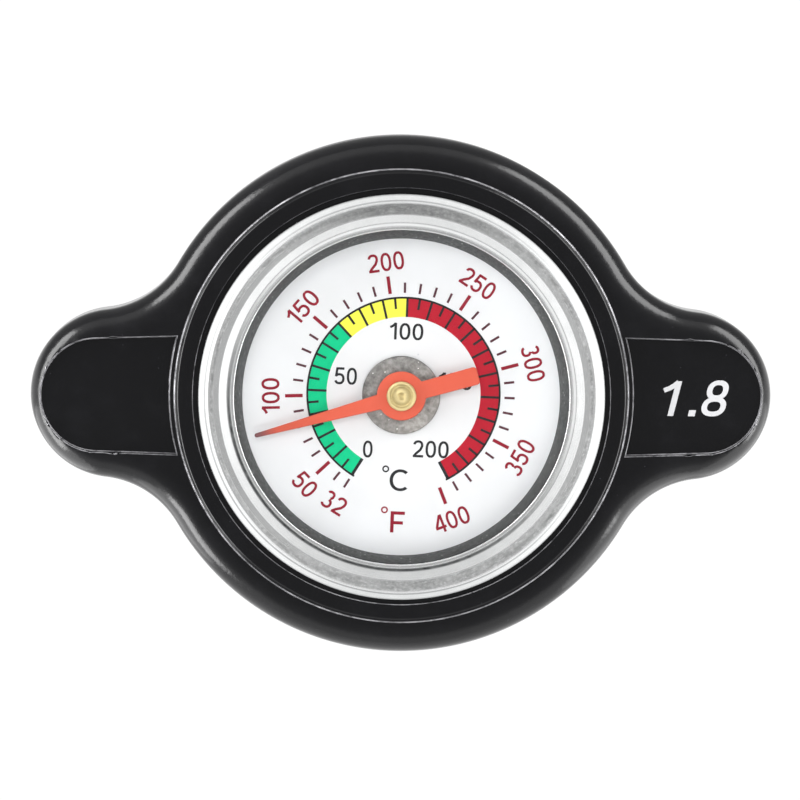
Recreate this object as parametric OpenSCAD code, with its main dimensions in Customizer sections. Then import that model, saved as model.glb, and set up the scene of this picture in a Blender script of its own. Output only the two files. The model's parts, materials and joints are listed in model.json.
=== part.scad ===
// Radiator cap thermometer: a winged pressure cap with a dial gauge in its top.
// The axis of the cap is Z. The face that seals on the filler neck lies at height zero,
// with the gauge above it and the valves and the probe below.

/* [Stem and probe] */
// Outer radius of the probe tube
tube_r = 2.5; // [2:0.1:3]
// Wall of the probe tube
tube_wall = 0.4; // [0.3:0.05:0.6]
// Depth of the probe tip below the neck face
probe_depth = 29; // [26:0.5:45]
// Radius of the threaded stem
stem_r = 4; // [3.8:0.1:5]
// Radius of the stem flange under the gauge
stem_flange_r = 6; // [5.5:0.1:8]
// Thickness of the stem flange
stem_flange_t = 0.8; // [0.6:0.1:1.2]
// Radius of the spigot that holds the gauge case
spigot_r = 3.1; // [3.1:0.1:3.6]
// Width of the nut across its flats
nut_flats = 11; // [10.5:0.5:13]
// Thickness of the washer above the nut
washer_t = 0.5; // [0.4:0.1:0.7]
// Room between the nut and the valve group
nut_room = 0.5; // [0.4:0.05:0.7]
// Thickness of the snap ring
snap_t = 0.4; // [0.3:0.05:0.6]
// Depth of the snap ring groove
snap_groove = 0.5; // [0.4:0.05:0.7]
// Width of the snap ring outside the stem
snap_w = 0.9; // [0.7:0.1:1.2]
// Length of stem below the snap ring
stem_tail = 0.7; // [0.5:0.1:1.5]

/* [Valves] */
// Wall of the guide sleeve
sleeve_wall = 0.8; // [0.6:0.1:1.2]
// Thickness of the guide sleeve's flange
sleeve_flange_t = 0.8; // [0.6:0.1:1.2]
// Length of the guide sleeve below the neck face
sleeve_len = 10.8; // [9:0.2:14]
// Width of the stop lips on sleeve and valve
lip_w = 1; // [0.8:0.1:1.4]
// Thickness of the stop lips
lip_t = 0.8; // [0.6:0.1:1.1]
// Lift of the pressure valve
valve_lift = 3; // [2:0.25:4]
// Wall of the valve hub
hub_wall = 0.8; // [0.6:0.1:1.2]
// Thickness of the valve plate
plate_t = 0.6; // [0.5:0.1:1]
// Depth of the plate's rim round the seal
plate_rim_h = 1; // [0.6:0.1:1.4]
// Wall of the plate's rim
plate_rim_w = 0.4; // [0.3:0.05:0.6]
// Width of the plate outside the spring
plate_land = 1.1; // [0.8:0.1:1.6]
// Wire of the pressure spring
spring_wire = 1.2; // [1:0.05:1.4]
// Turns of the pressure spring
spring_turns = 5.2; // [4.6:0.1:5.2]
// Thickness of the lower seal's outer land
seal_t = 1.8; // [1.5:0.1:2.4]
// Step between the lower seal's two lands
seal_step = 0.6; // [0.4:0.1:0.8]
// Width of the lower seal's outer land
seal_land = 3; // [2:0.1:3.2]
// Wall of the vacuum valve's tube
vac_wall = 0.85; // [0.6:0.05:1]
// Overlap of the vacuum disc on its seat
vac_seat_w = 2.3; // [1.5:0.1:2.4]
// Travel of the vacuum valve
vac_drop = 1.5; // [1:0.1:1.8]
// Length of the vacuum spring
vac_spring_len = 3; // [2.8:0.1:3.4]
// Wire of the vacuum spring
vac_wire = 0.4; // [0.3:0.05:0.45]
// Turns of the vacuum spring
vac_turns = 2.6; // [2:0.1:2.6]
// Thickness of the vacuum valve's collar
vac_collar_t = 0.6; // [0.5:0.1:0.8]

/* [Neck seal and bayonet] */
// Thickness of the upper gasket
gasket_t = 1.6; // [1.2:0.1:2.4]
// Depth of the rebate that the sleeve's flange lies in
rebate = 0.6; // [0.4:0.05:0.8]
// Width of the seal on the neck
seat_w = 4.3; // [3.5:0.1:6]
// Height of the diaphragm spring
dia_h = 1.6; // [1.3:0.1:2.4]
// Sheet of the diaphragm spring
dia_t = 0.3; // [0.2:0.05:0.4]
// Sheet of the bayonet shell
shell_t = 0.8; // [0.6:0.1:1.2]
// Gap between the gasket and the cam lugs
lug_gap = 1; // [0.6:0.1:2]
// Reach of the cam lugs
lug_w = 1.6; // [1.2:0.1:2.4]
// Width of a cam lug in degrees
lug_arc = 64; // [40:1:80]
// Height of the stop at the end of a cam lug
stop_h = 1.4; // [1:0.1:1.8]
// Width of that stop in degrees
stop_arc = 7; // [5:1:10]
// Depth of the bayonet shell below the neck face
shell_depth = 6.2; // [5.4:0.1:9]
// Drop of the shell below the cover's skirt
shell_show = 1; // [0.6:0.1:1.4]
// Rounding of the shell's top edge
shell_edge = 0.8; // [0.4:0.1:1]

/* [Cover] */
// Wall of the skirt round the shell
skirt_wall = 1.6; // [1.2:0.1:2.4]
// Chamfer at the foot of the skirt
skirt_cham = 0.4; // [0.2:0.1:0.8]
// Floor between the shell and the gauge
floor_t = 1; // [0.8:0.1:1.6]
// Depth of the gauge recess
recess_h = 5; // [4.6:0.1:5.2]
// Gap between bezel and recess
bezel_gap = 0.45; // [0.3:0.05:0.8]
// Width of the collar round the recess
collar_w = 1.3; // [1:0.1:2]
// Height of the collar above the shoulder
collar_step = 0.5; // [0.3:0.05:0.6]
// Chamfer at the foot of the collar
collar_cham = 0.3; // [0.1:0.05:0.4]
// Flat shoulder between collar and rounding
shoulder_w = 0.18; // [0.1:0.02:1]
// Rounding of the upper edge
edge_r = 2.65; // [1.8:0.05:2.8]
// Rounding of the lower edge
foot_r = 1.4; // [0.8:0.1:1.8]
// Height of the wings
wing_h = 8; // [6.5:0.25:8.5]
// Reach of a wing past the round body
wing_out = 9.55; // [8:0.05:12]
// Radius of a wing's round end
wing_r = 7.25; // [6.6:0.05:8]
// Radius of the hollow beside a wing
web_r = 8.2; // [6:0.1:12]
// Depth of the flat sunk into each wing
flat_d = 0.7; // [0.4:0.05:1]
// Land between collar and flat
flat_land = 0.75; // [0.5:0.05:1]
// Width of the flat at its root
flat_root = 10.1; // [8:0.1:10.8]
// Radius of the flat's round end
flat_end_r = 4.85; // [4:0.05:5.2]
// Rim left between flat and wing tip
flat_tip = 0.75; // [0.3:0.05:1.2]
// Width of a drive dog
dog_w = 4; // [3:0.25:5]
// Gap round a drive dog
dog_gap = 0.1; // [0.05:0.05:0.2]

/* [Gauge] */
// Radius of dial that shows
view_r = 13.6; // [12:0.05:15]
// Slope of the spacer ring's inner face
spacer_slope = 0.7; // [0.3:0.05:0.8]
// Width of the spacer ring's foot
spacer_w = 1.85; // [1.4:0.05:2.4]
// Wall of the gauge case
case_wall = 0.5; // [0.4:0.05:0.8]
// Floor of the gauge case
case_t = 0.5; // [0.4:0.05:0.7]
// Width of the case rim
rim_w = 0.75; // [0.5:0.05:1]
// Thickness of the case rim
rim_t = 0.4; // [0.3:0.05:0.6]
// Height of the ledge under the dial
ledge_h = 0.7; // [0.5:0.05:0.9]
// Width of the ledge under the dial
ledge_w = 1.1; // [0.8:0.05:1.4]
// Thickness of the dial
dial_t = 0.4; // [0.3:0.05:0.6]
// Space between dial and lens
dial_room = 2.25; // [2:0.05:2.6]
// Thickness of the lens
lens_t = 1; // [0.8:0.05:1.4]
// Thickness of the lens gasket
lens_gasket_t = 0.4; // [0.3:0.05:0.5]
// Wall of the bezel
bezel_wall = 0.5; // [0.4:0.05:0.8]
// Distance of the bezel's crown from its outer edge
crown_in = 1.3; // [1.1:0.05:1.5]
// Width of the crown's brushed band
crown_w = 0.8; // [0.6:0.05:1]
// Height of the crown above the lens
crown_h = 0.65; // [0.5:0.05:0.9]
// Width of the groove inside the crown
groove_w = 0.27; // [0.2:0.01:0.35]
// Height of the bezel's inner lip
bezel_lip_h = 0.35; // [0.25:0.05:0.5]
// Width of the bezel's inner lip
bezel_lip_w = 0.35; // [0.25:0.05:0.5]
// Web of the bezel over the lens
bezel_web = 0.15; // [0.1:0.05:0.25]
// Width of the case gasket
case_gasket_w = 2; // [1.5:0.1:3]
// Radius of the disc at the dial's centre
disc_r = 3.35; // [3:0.05:4]
// Thickness of that disc
disc_t = 0.4; // [0.3:0.05:0.5]

/* [Pointer] */
// Angle of the pointer from +X at rest
pointer_at = 195.5; // [150:0.5:238]
// Gap between the pointer's tip and the rim of the view
tip_gap = 0.6; // [0.4:0.05:3]
// Width of the pointer at its root
pointer_root = 1.25; // [0.8:0.05:1.8]
// Width of the pointer at its tip
pointer_tip = 0.37; // [0.2:0.01:0.6]
// Length of the tail
tail_len = 6.8; // [4:0.1:9]
// Width of the tail's end
tail_end = 1.55; // [1:0.05:2]
// Radius of the pointer's round middle
pointer_eye = 2.1; // [1.6:0.05:2.6]
// Sheet of the pointer
pointer_t = 0.25; // [0.15:0.05:0.4]
// Height of the pointer above the dial
pointer_up = 1.05; // [0.9:0.05:1.3]
// Radius of the pointer's hub
hub_r = 1.27; // [1:0.01:1.5]
// Height of the hub above the pointer
hub_h = 0.4; // [0.2:0.05:0.5]
// Radius of the spindle
spindle_r = 0.5; // [0.3:0.05:0.6]
// Thickness of the hub's foot under the pointer
hub_foot = 0.3; // [0.2:0.05:0.5]
// Radius of the dimple in the hub
hub_dimple = 0.4; // [0.2:0.05:0.5]
// Wire of the bimetal coil
coil_wire = 0.5; // [0.3:0.05:0.55]
// Turns of the bimetal coil
coil_turns = 7; // [5:1:7]
// Thickness of the coil's anchor and carrier
coil_end = 0.8; // [0.6:0.1:1.2]
// Length of the bimetal coil
coil_len = 10; // [9.6:0.2:14]

/* [Clearances] */
// Running gap of a sliding fit
run_gap = 0.06; // [0.03:0.01:0.1]
// Gap between pieces that are fixed together
fit_gap = 0.03; // [0.01:0.01:0.08]
// Gap where a moving face rests
seat_gap = 0.03; // [0.02:0.01:0.1]
// Free gap between pieces that don't touch
free_gap = 0.3; // [0.2:0.05:0.4]

/* [Hidden] */
$fn = 96;
// depth that a cut runs past a face
past = 1;

// radii of the valve group, from the stem outwards
snap_r = stem_r + snap_w;
sleeve_bore = stem_r + run_gap;
sleeve_in = snap_r + free_gap;
sleeve_out = sleeve_in + sleeve_wall;
stop_r = sleeve_out + lip_w;
hub_in = stop_r + run_gap;
hub_out = hub_in + hub_wall;
spring_r = hub_out + 1.4 * free_gap + spring_wire / 2;
spring_out = spring_r + spring_wire / 2;
plate_r = spring_out + plate_land;
sleeve_flange_r = plate_r + free_gap;
gasket_r = sleeve_flange_r + seat_w;
lug_r = gasket_r + lug_gap;
shell_in = lug_r + lug_w;
shell_r = shell_in + shell_t;
skirt_r = shell_r + fit_gap + skirt_wall;
nut_r = nut_flats / sqrt(3);
dia_in = nut_r + 3 * free_gap;
tube_in = tube_r - tube_wall;
vac_in = tube_r + run_gap;
vac_out = vac_in + vac_wall;
bleed_r = vac_out + 2 * free_gap;
vac_spring_r = bleed_r + vac_wire / 2 + free_gap / 3;
vac_collar_r = sleeve_in - free_gap;
seal_r = plate_r - plate_rim_w - fit_gap;
land_r = seal_r - seal_land;

// heights of the valve group
z_shell = gasket_t + dia_h + seat_gap;
z_flange = rebate - sleeve_flange_t;
z_snap = z_flange - seat_gap;
z_stem = z_snap - snap_t - stem_tail;
z_stop = -sleeve_len + lip_t;
z_plate = -sleeve_len - valve_lift - free_gap;
z_seal = z_plate - plate_t;
z_face = z_seal - seal_t;
z_vac = z_seal - seal_t + seal_step - seat_gap;
z_vac_collar = z_plate + vac_spring_len;
nut_t = z_shell - washer_t - rebate - nut_room;

// heights of the cover and the gauge
z_top = z_shell + shell_t;
z_floor = z_top + floor_t;
z_collar = z_floor + recess_h;
z_shoulder = z_collar - collar_step;
z_wing = z_shoulder - wing_h;
z_skirt = -shell_depth + shell_show;
z_case = z_floor + stem_flange_t;
z_inside = z_case + case_t;
z_dial = z_inside + ledge_h;
z_print = z_dial + dial_t;
z_lens = z_print + dial_room;
z_glass = z_lens + lens_t;
z_rim = z_lens - lens_gasket_t;
z_pointer = z_print + pointer_up;
z_hub = z_pointer + pointer_t + hub_h;
pointer_len = view_r - tip_gap;

// radii of the gauge, from the dial outwards
spacer_r = view_r + spacer_w;
case_in = spacer_r + 2 * fit_gap;
case_r = case_in + case_wall;
rim_r = case_r + rim_w;
lens_r = rim_r;
bezel_in = rim_r + 2 * fit_gap;
bezel_r = bezel_in + bezel_wall;
lip_in = view_r + spacer_slope - fit_gap;
recess_r = bezel_r + bezel_gap;
collar_r = recess_r + collar_w;

// outline of the cover
body_r = max(collar_r + collar_cham + shoulder_w + edge_r, skirt_r + foot_r);
wing_tip = body_r + wing_out;
wing_x = wing_tip - wing_r;
// the hollow is drawn a little large, so that the arcs cross and never only touch
web_cut = web_r + 0.05;
web_x = (pow(body_r + web_r, 2) - pow(wing_r + web_r, 2) + wing_x * wing_x) / (2 * wing_x);
web_y = sqrt(pow(body_r + web_r, 2) - web_x * web_x);
z_flat = z_shoulder - flat_d;
flat_x = wing_tip - flat_tip - flat_end_r;
dog_r = (shell_in + dia_in) / 2;

// the probe, from its tip upwards
z_tip = -probe_depth;
z_anchor = z_tip + tube_r + tube_wall;
z_coil = z_anchor + coil_end;
z_carrier = z_coil + coil_len;
coil_r = tube_in - coil_wire / 2 - free_gap / 2;

// a plain ring between two radii and two heights
module ring(r_in, r_out, z_low, z_high) {
  rotate_extrude()
    translate([r_in, z_low])
      square([r_out - r_in, z_high - z_low]);
}

// a wound wire of n turns between two heights: a dead stretch lies on each end, and the
// wire runs out straight by one of its diameters
dead = 0.4;
function wire_z(n, u, z0, z1) = z0 + (z1 - z0) * min(max(u - dead, 0), n - 2 * dead) / (n - 2 * dead);
function wire_on(r, n, u, z0, z1) = [r * cos(360 * u), r * sin(360 * u), wire_z(n, u, z0, z1)];
function wire_run(r, n, k, d, z0, z1) = let(m = round(n * k), e = 360 * n) concat(
  [[r, -d, z0]],
  [for (i = [0 : m]) wire_on(r, n, n * i / m, z0, z1)],
  [[r * cos(e) - d * sin(e), r * sin(e) + d * cos(e), z1]]);
function unit(v) = v / norm(v);
function lead(p, i) = unit(p[min(i + 1, len(p) - 1)] - p[max(i - 1, 0)]);
function out_of(p) = unit([p[0], p[1], 0]);
// one ring of the tube: six points square to the run
function wire_ring(p, i, d) = let(t = lead(p, i), b = unit(cross(t, out_of(p[i]))), a = cross(b, t))
  [for (j = [0 : 5]) p[i] + d / 2 * (cos(60 * j) * b + sin(60 * j) * a)];
module wire(p, d) {
  m = len(p);
  pts = [for (i = [0 : m - 1]) each wire_ring(p, i, d)];
  side = [for (i = [0 : m - 2], j = [0 : 5]) let(a = 6 * i + j, b = 6 * i + (j + 1) % 6)
    each [[a, a + 6, b + 6], [a, b + 6, b]]];
  start = [for (j = [1 : 4]) [0, j, j + 1]];
  end = [for (j = [1 : 4]) [6 * m - 6, 6 * m - 6 + j + 1, 6 * m - 6 + j]];
  polyhedron(points = pts, faces = concat(side, start, end));
}
// least gap of a wire to itself, over points more than half a turn apart
function wire_gap(p, k, d) =
  min([for (i = [0 : len(p) - 1], j = [i + floor(k / 2) + 1 : 1 : len(p) - 1]) norm(p[i] - p[j])]) - d;

spring_run = wire_run(spring_r, spring_turns, 24, spring_wire,
  z_plate + spring_wire / 2 + seat_gap, z_flange - spring_wire / 2 - seat_gap);
vac_run = wire_run(vac_spring_r, vac_turns, 12, vac_wire,
  z_plate + vac_wire / 2 + seat_gap, z_vac_collar - vac_wire / 2 - seat_gap);
coil_run = wire_run(coil_r, coil_turns, 8, coil_wire,
  z_coil + coil_wire / 2 + seat_gap, z_carrier - coil_wire / 2 - seat_gap);
echo(pressure_spring_gap = wire_gap(spring_run, 24, spring_wire));
echo(vacuum_spring_gap = wire_gap(vac_run, 12, vac_wire));
echo(bimetal_coil_gap = wire_gap(coil_run, 8, coil_wire));

// section of an outward rim with both edges rounded
module rim_section(r) {
  h = z_shoulder - z_wing;
  translate([0, z_wing]) square([r - foot_r, h - edge_r]);
  translate([0, z_wing + foot_r]) square([r, h - edge_r - foot_r]);
  translate([0, z_wing + foot_r]) square([r - edge_r, h - foot_r]);
  translate([r - edge_r, z_shoulder - edge_r]) circle(edge_r);
  translate([r - foot_r, z_wing + foot_r]) circle(foot_r);
}
// section of the free space inside a hollow rim with both edges rounded
module hollow_section(r) {
  h = z_shoulder - z_wing;
  w = edge_r + foot_r;
  difference() {
    translate([0, z_wing - past]) square([r + w, h + 2 * past]);
    translate([r + foot_r, z_wing]) square([w, h - edge_r]);
    translate([r, z_wing + foot_r]) square([w, h - edge_r - foot_r]);
    translate([r + edge_r, z_wing + foot_r]) square([w, h - foot_r]);
    translate([r + edge_r, z_shoulder - edge_r]) circle(edge_r);
    translate([r + foot_r, z_wing + foot_r]) circle(foot_r);
  }
}
// the web that runs the wing at +X into the body
module web() {
  difference() {
    translate([0, 0, z_wing])
      linear_extrude(z_shoulder - z_wing)
        polygon([[0, 0], [web_x, -web_y], [wing_x, 0], [web_x, web_y]]);
    for (s = [-1, 1])
      translate([web_x, s * web_y, 0]) rotate_extrude() hollow_section(web_cut);
  }
}
// the flat sunk into the wing at +X, as a cut
module wing_flat() {
  difference() {
    translate([0, 0, z_flat]) linear_extrude(flat_d + past) {
      polygon([[collar_r, -flat_root / 2], [flat_x, -flat_end_r + 0.01],
               [flat_x, flat_end_r - 0.01], [collar_r, flat_root / 2]]);
      translate([flat_x, 0]) circle(flat_end_r);
    }
    translate([0, 0, z_flat - past]) cylinder(r = collar_r + flat_land, h = flat_d + 3 * past);
  }
}
// drive dogs of the cover, or with a gap the slots that they sit in
module dogs(gap) {
  low = gap > 0 ? z_shell - past : z_shell + dog_gap;
  for (s = [0, 180])
    rotate([0, 0, s])
      translate([dog_r - dog_w / 4 - gap, -dog_w / 2 - gap, low])
        cube([dog_w / 2 + 2 * gap, dog_w + 2 * gap, z_top + floor_t / 2 - low]);
}

module handle_cover() {
  color("dimgray")
  difference() {
    union() {
      rotate_extrude() {
        rim_section(body_r);
        polygon([[0, z_shoulder - past], [collar_r + collar_cham, z_shoulder - past],
                 [collar_r + collar_cham, z_shoulder], [collar_r, z_collar], [0, z_collar]]);
        polygon([[0, z_skirt], [skirt_r - skirt_cham, z_skirt], [skirt_r, z_skirt + skirt_cham],
                 [skirt_r, z_wing + past], [0, z_wing + past]]);
      }
      for (s = [0, 180])
        rotate([0, 0, s]) {
          translate([wing_x, 0, 0]) rotate_extrude() rim_section(wing_r);
          web();
        }
    }
    translate([0, 0, z_floor]) cylinder(r = recess_r, h = recess_h + past);
    difference() {
      translate([0, 0, z_skirt - past]) cylinder(r = shell_r + fit_gap, h = z_top - z_skirt + past);
      dogs(0);
    }
    translate([0, 0, z_skirt]) cylinder(r = stem_r + fit_gap, h = z_collar - z_skirt);
    for (s = [0, 180]) rotate([0, 0, s]) wing_flat();
  }
}

module bayonet_shell() {
  h = z_top + shell_depth;
  color("silver")
  difference() {
    union() {
      // turned a quarter, so that the revolve starts between the lugs
      rotate([0, 0, 90])
        rotate_extrude()
          translate([0, -shell_depth])
            difference() {
              union() {
                square([shell_r - shell_edge, h]);
                square([shell_r, h - shell_edge]);
                translate([shell_r - shell_edge, h - shell_edge]) circle(shell_edge);
              }
              translate([0, -past]) square([shell_in, h - shell_t + past]);
              square([stem_r + fit_gap, h + past]);
            }
      for (s = [0, 180])
        rotate([0, 0, s - lug_arc / 2])
          rotate_extrude(angle = lug_arc)
            translate([lug_r, -shell_depth]) square([lug_w + shell_t / 2, shell_t]);
      // the stop is narrower than its lug, so that their faces never coincide
      for (s = [0, 180])
        rotate([0, 0, s + lug_arc / 2 - stop_arc - 1])
          rotate_extrude(angle = stop_arc)
            translate([lug_r + lug_w / 8, -shell_depth + shell_t / 2])
              square([lug_w * 7 / 8 + shell_t / 3, stop_h]);
    }
    dogs(dog_gap);
  }
}

module gauge_case() {
  color("lightgray")
  rotate_extrude()
    polygon([[spigot_r + fit_gap, z_case], [case_r, z_case], [case_r, z_rim - rim_t],
             [rim_r, z_rim - rim_t], [rim_r, z_rim], [case_in, z_rim], [case_in, z_dial],
             [case_in - ledge_w, z_dial], [case_in - ledge_w, z_inside],
             [spigot_r + fit_gap, z_inside]]);
}

module case_gasket() {
  color("darkslategray") ring(case_r - case_gasket_w - ledge_w, case_r - ledge_w, z_floor, z_case);
}

// a crowned ring that closes over the lens, with its foot turned in under the case rim
module bezel_ring() {
  crown = bezel_r - crown_in;
  groove = lip_in + bezel_lip_w;
  foot = case_r + 2 * fit_gap;
  sole = z_rim - rim_t - fit_gap;
  color("gainsboro")
  rotate_extrude()
    polygon([[lip_in, z_glass], [lip_in, z_glass + bezel_lip_h], [groove, z_glass + bezel_lip_h],
             [groove, z_glass + bezel_web], [groove + groove_w, z_glass + bezel_web],
             [crown - crown_w / 2, z_glass + crown_h], [crown + crown_w / 2, z_glass + crown_h],
             [bezel_r, z_glass], [bezel_r, sole - rim_t], [foot, sole - rim_t], [foot, sole],
             [bezel_in, sole], [bezel_in, z_glass]]);
}

module lens() {
  color("lightblue", 0.4) ring(0, lens_r, z_lens, z_glass);
}

module lens_gasket() {
  color("black") ring(case_in, lens_r, z_rim, z_lens);
}

module spacer_ring() {
  color("gray")
  rotate_extrude()
    polygon([[view_r, z_print], [spacer_r, z_print], [spacer_r, z_lens],
             [view_r + spacer_slope, z_lens]]);
}

module dial_plate() {
  color("white") ring(spigot_r / 2 + fit_gap, spacer_r, z_dial, z_print);
}

module centre_disc() {
  color("darkgray") ring(spigot_r / 2 + fit_gap, disc_r, z_print, z_print + disc_t);
}

module spindle_bush() {
  color("goldenrod")
  rotate_extrude() {
    translate([spindle_r + run_gap, z_inside]) square([spigot_r - spindle_r - run_gap, ledge_h]);
    translate([spindle_r + run_gap, z_case]) square([tube_in - fit_gap - spindle_r - run_gap, case_t]);
    translate([spindle_r + run_gap, z_dial])
      square([spigot_r / 2 - spindle_r - run_gap, dial_t + disc_t]);
  }
}

module stem() {
  color("goldenrod")
  difference() {
    union() {
      translate([0, 0, z_stem]) cylinder(r = stem_r, h = z_floor - z_stem);
      translate([0, 0, z_floor]) cylinder(r = stem_flange_r, h = stem_flange_t);
      translate([0, 0, z_case]) cylinder(r = spigot_r, h = case_t);
    }
    translate([0, 0, z_stem - past]) cylinder(r = tube_r + fit_gap, h = z_inside - z_stem + 2 * past);
    ring(stem_r - snap_groove, stem_r + past, z_snap - snap_t - fit_gap, z_snap + fit_gap);
  }
}

module stem_washer() {
  color("silver") ring(stem_r + fit_gap, nut_r + free_gap, z_shell - washer_t, z_shell);
}

module stem_nut() {
  color("darkkhaki")
  difference() {
    translate([0, 0, z_shell - washer_t - nut_t]) cylinder(r = nut_r, h = nut_t, $fn = 6);
    translate([0, 0, z_shell - washer_t - nut_t - past]) cylinder(r = stem_r + fit_gap, h = nut_t + 2 * past);
  }
}

module snap_ring() {
  color("dimgray")
  rotate([0, 0, 25])
    rotate_extrude(angle = 310)
      translate([stem_r - snap_groove + fit_gap, z_snap - snap_t])
        square([snap_w + snap_groove - fit_gap, snap_t]);
}

module probe_tube() {
  color("lightsteelblue")
  difference() {
    union() {
      translate([0, 0, z_tip + tube_r]) sphere(tube_r);
      translate([0, 0, z_tip + tube_r]) cylinder(r = tube_r, h = z_inside - z_tip - tube_r);
    }
    translate([0, 0, z_anchor]) cylinder(r = tube_in, h = z_inside - z_anchor + past);
  }
}

module coil_anchor() {
  color("goldenrod") ring(0, tube_in - fit_gap, z_anchor, z_coil);
}

module bimetal_coil() {
  color("peru") wire(coil_run, coil_wire);
}

module coil_carrier() {
  color("goldenrod") ring(spindle_r + fit_gap, coil_r + coil_wire / 2, z_carrier, z_carrier + coil_end);
}

module spindle() {
  color("silver") ring(0, spindle_r, z_carrier - coil_wire, z_hub - hub_h);
}

module pointer() {
  color("orangered")
  translate([0, 0, z_pointer])
    rotate([0, 0, pointer_at])
      linear_extrude(pointer_t)
        difference() {
          union() {
            circle(pointer_eye);
            polygon([[-tail_len, -tail_end / 2], [0, -pointer_root / 2], [pointer_len, -pointer_tip / 2],
                     [pointer_len, pointer_tip / 2], [0, pointer_root / 2], [-tail_len, tail_end / 2]]);
          }
          circle(spindle_r + (hub_r - spindle_r) / 2 + fit_gap);
        }
}

module pointer_hub() {
  color("gold")
  rotate_extrude() {
    bore = spindle_r + fit_gap;
    neck = spindle_r + (hub_r - spindle_r) / 2;
    translate([bore, z_pointer - hub_foot]) square([hub_r - bore, hub_foot]);
    translate([bore, z_pointer - hub_foot]) square([neck - bore, pointer_t + hub_foot]);
    difference() {
      translate([0, z_pointer + pointer_t]) square([hub_r, hub_h]);
      translate([0, z_hub + hub_dimple / 2]) circle(hub_dimple);
    }
  }
}

module upper_gasket() {
  step = sleeve_flange_r + fit_gap;
  color("black")
  rotate_extrude()
    polygon([[dia_in, rebate], [step, rebate], [step, 0], [gasket_r, 0], [gasket_r, gasket_t],
             [dia_in, gasket_t]]);
}

// a dished disc that presses the gasket down on the neck
module diaphragm_spring() {
  color("silver")
  rotate_extrude()
    polygon([[dia_in, gasket_t + dia_h - dia_t], [dia_in + seat_w / 2, gasket_t + dia_h - dia_t],
             [gasket_r - seat_w / 2, gasket_t], [gasket_r, gasket_t], [gasket_r, gasket_t + dia_t],
             [gasket_r - seat_w / 2, gasket_t + dia_t], [dia_in + seat_w / 2, gasket_t + dia_h],
             [dia_in, gasket_t + dia_h]]);
}

module guide_sleeve() {
  color("khaki")
  rotate_extrude()
    polygon([[sleeve_bore, rebate], [sleeve_bore, z_flange], [sleeve_in, z_flange],
             [sleeve_in, -sleeve_len], [stop_r, -sleeve_len], [stop_r, z_stop], [sleeve_out, z_stop],
             [sleeve_out, z_flange], [sleeve_flange_r, z_flange], [sleeve_flange_r, rebate]]);
}

module pressure_spring() {
  color("lightsteelblue") wire(spring_run, spring_wire);
}

module valve_plate() {
  z_lip = z_stop + seat_gap;
  color("khaki")
  rotate_extrude()
    polygon([[sleeve_out + run_gap, z_lip], [sleeve_out + run_gap, z_lip + lip_t],
             [hub_out, z_lip + lip_t], [hub_out, z_plate], [plate_r, z_plate],
             [plate_r, z_seal - plate_rim_h], [plate_r - plate_rim_w, z_seal - plate_rim_h],
             [plate_r - plate_rim_w, z_seal], [bleed_r, z_seal], [bleed_r, z_plate],
             [hub_in, z_plate], [hub_in, z_lip]]);
}

module valve_seal() {
  color("black")
  rotate_extrude()
    polygon([[bleed_r, z_seal], [seal_r, z_seal], [seal_r, z_face], [land_r, z_face],
             [land_r, z_face + seal_step], [bleed_r, z_face + seal_step]]);
}

module vacuum_spring() {
  color("lightsteelblue") wire(vac_run, vac_wire);
}

module vacuum_valve() {
  color("gold")
  rotate_extrude()
    polygon([[vac_in, z_vac - seal_step + seat_gap], [bleed_r + vac_seat_w, z_vac - seal_step + seat_gap],
             [bleed_r + vac_seat_w, z_vac], [vac_out, z_vac], [vac_out, z_vac_collar + vac_collar_t],
             [vac_in, z_vac_collar + vac_collar_t]]);
}

module vacuum_collar() {
  color("gold") ring(vac_out + fit_gap, vac_collar_r, z_vac_collar, z_vac_collar + vac_collar_t);
}

handle_cover();
bayonet_shell();
gauge_case();
case_gasket();
bezel_ring();
lens();
lens_gasket();
spacer_ring();
dial_plate();
centre_disc();
spindle_bush();
stem();
stem_washer();
stem_nut();
snap_ring();
probe_tube();
coil_anchor();
bimetal_coil();
coil_carrier();
spindle();
pointer();
pointer_hub();
upper_gasket();
diaphragm_spring();
guide_sleeve();
pressure_spring();
valve_plate();
valve_seal();
vacuum_spring();
vacuum_valve();
vacuum_collar();
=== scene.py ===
"""Looks of the radiator cap thermometer: a black winged cap with a dial gauge in its top.

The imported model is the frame. Each operator below models one piece, or one group of like
pieces, where the frame says it is, and gives it its finish.
"""

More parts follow.
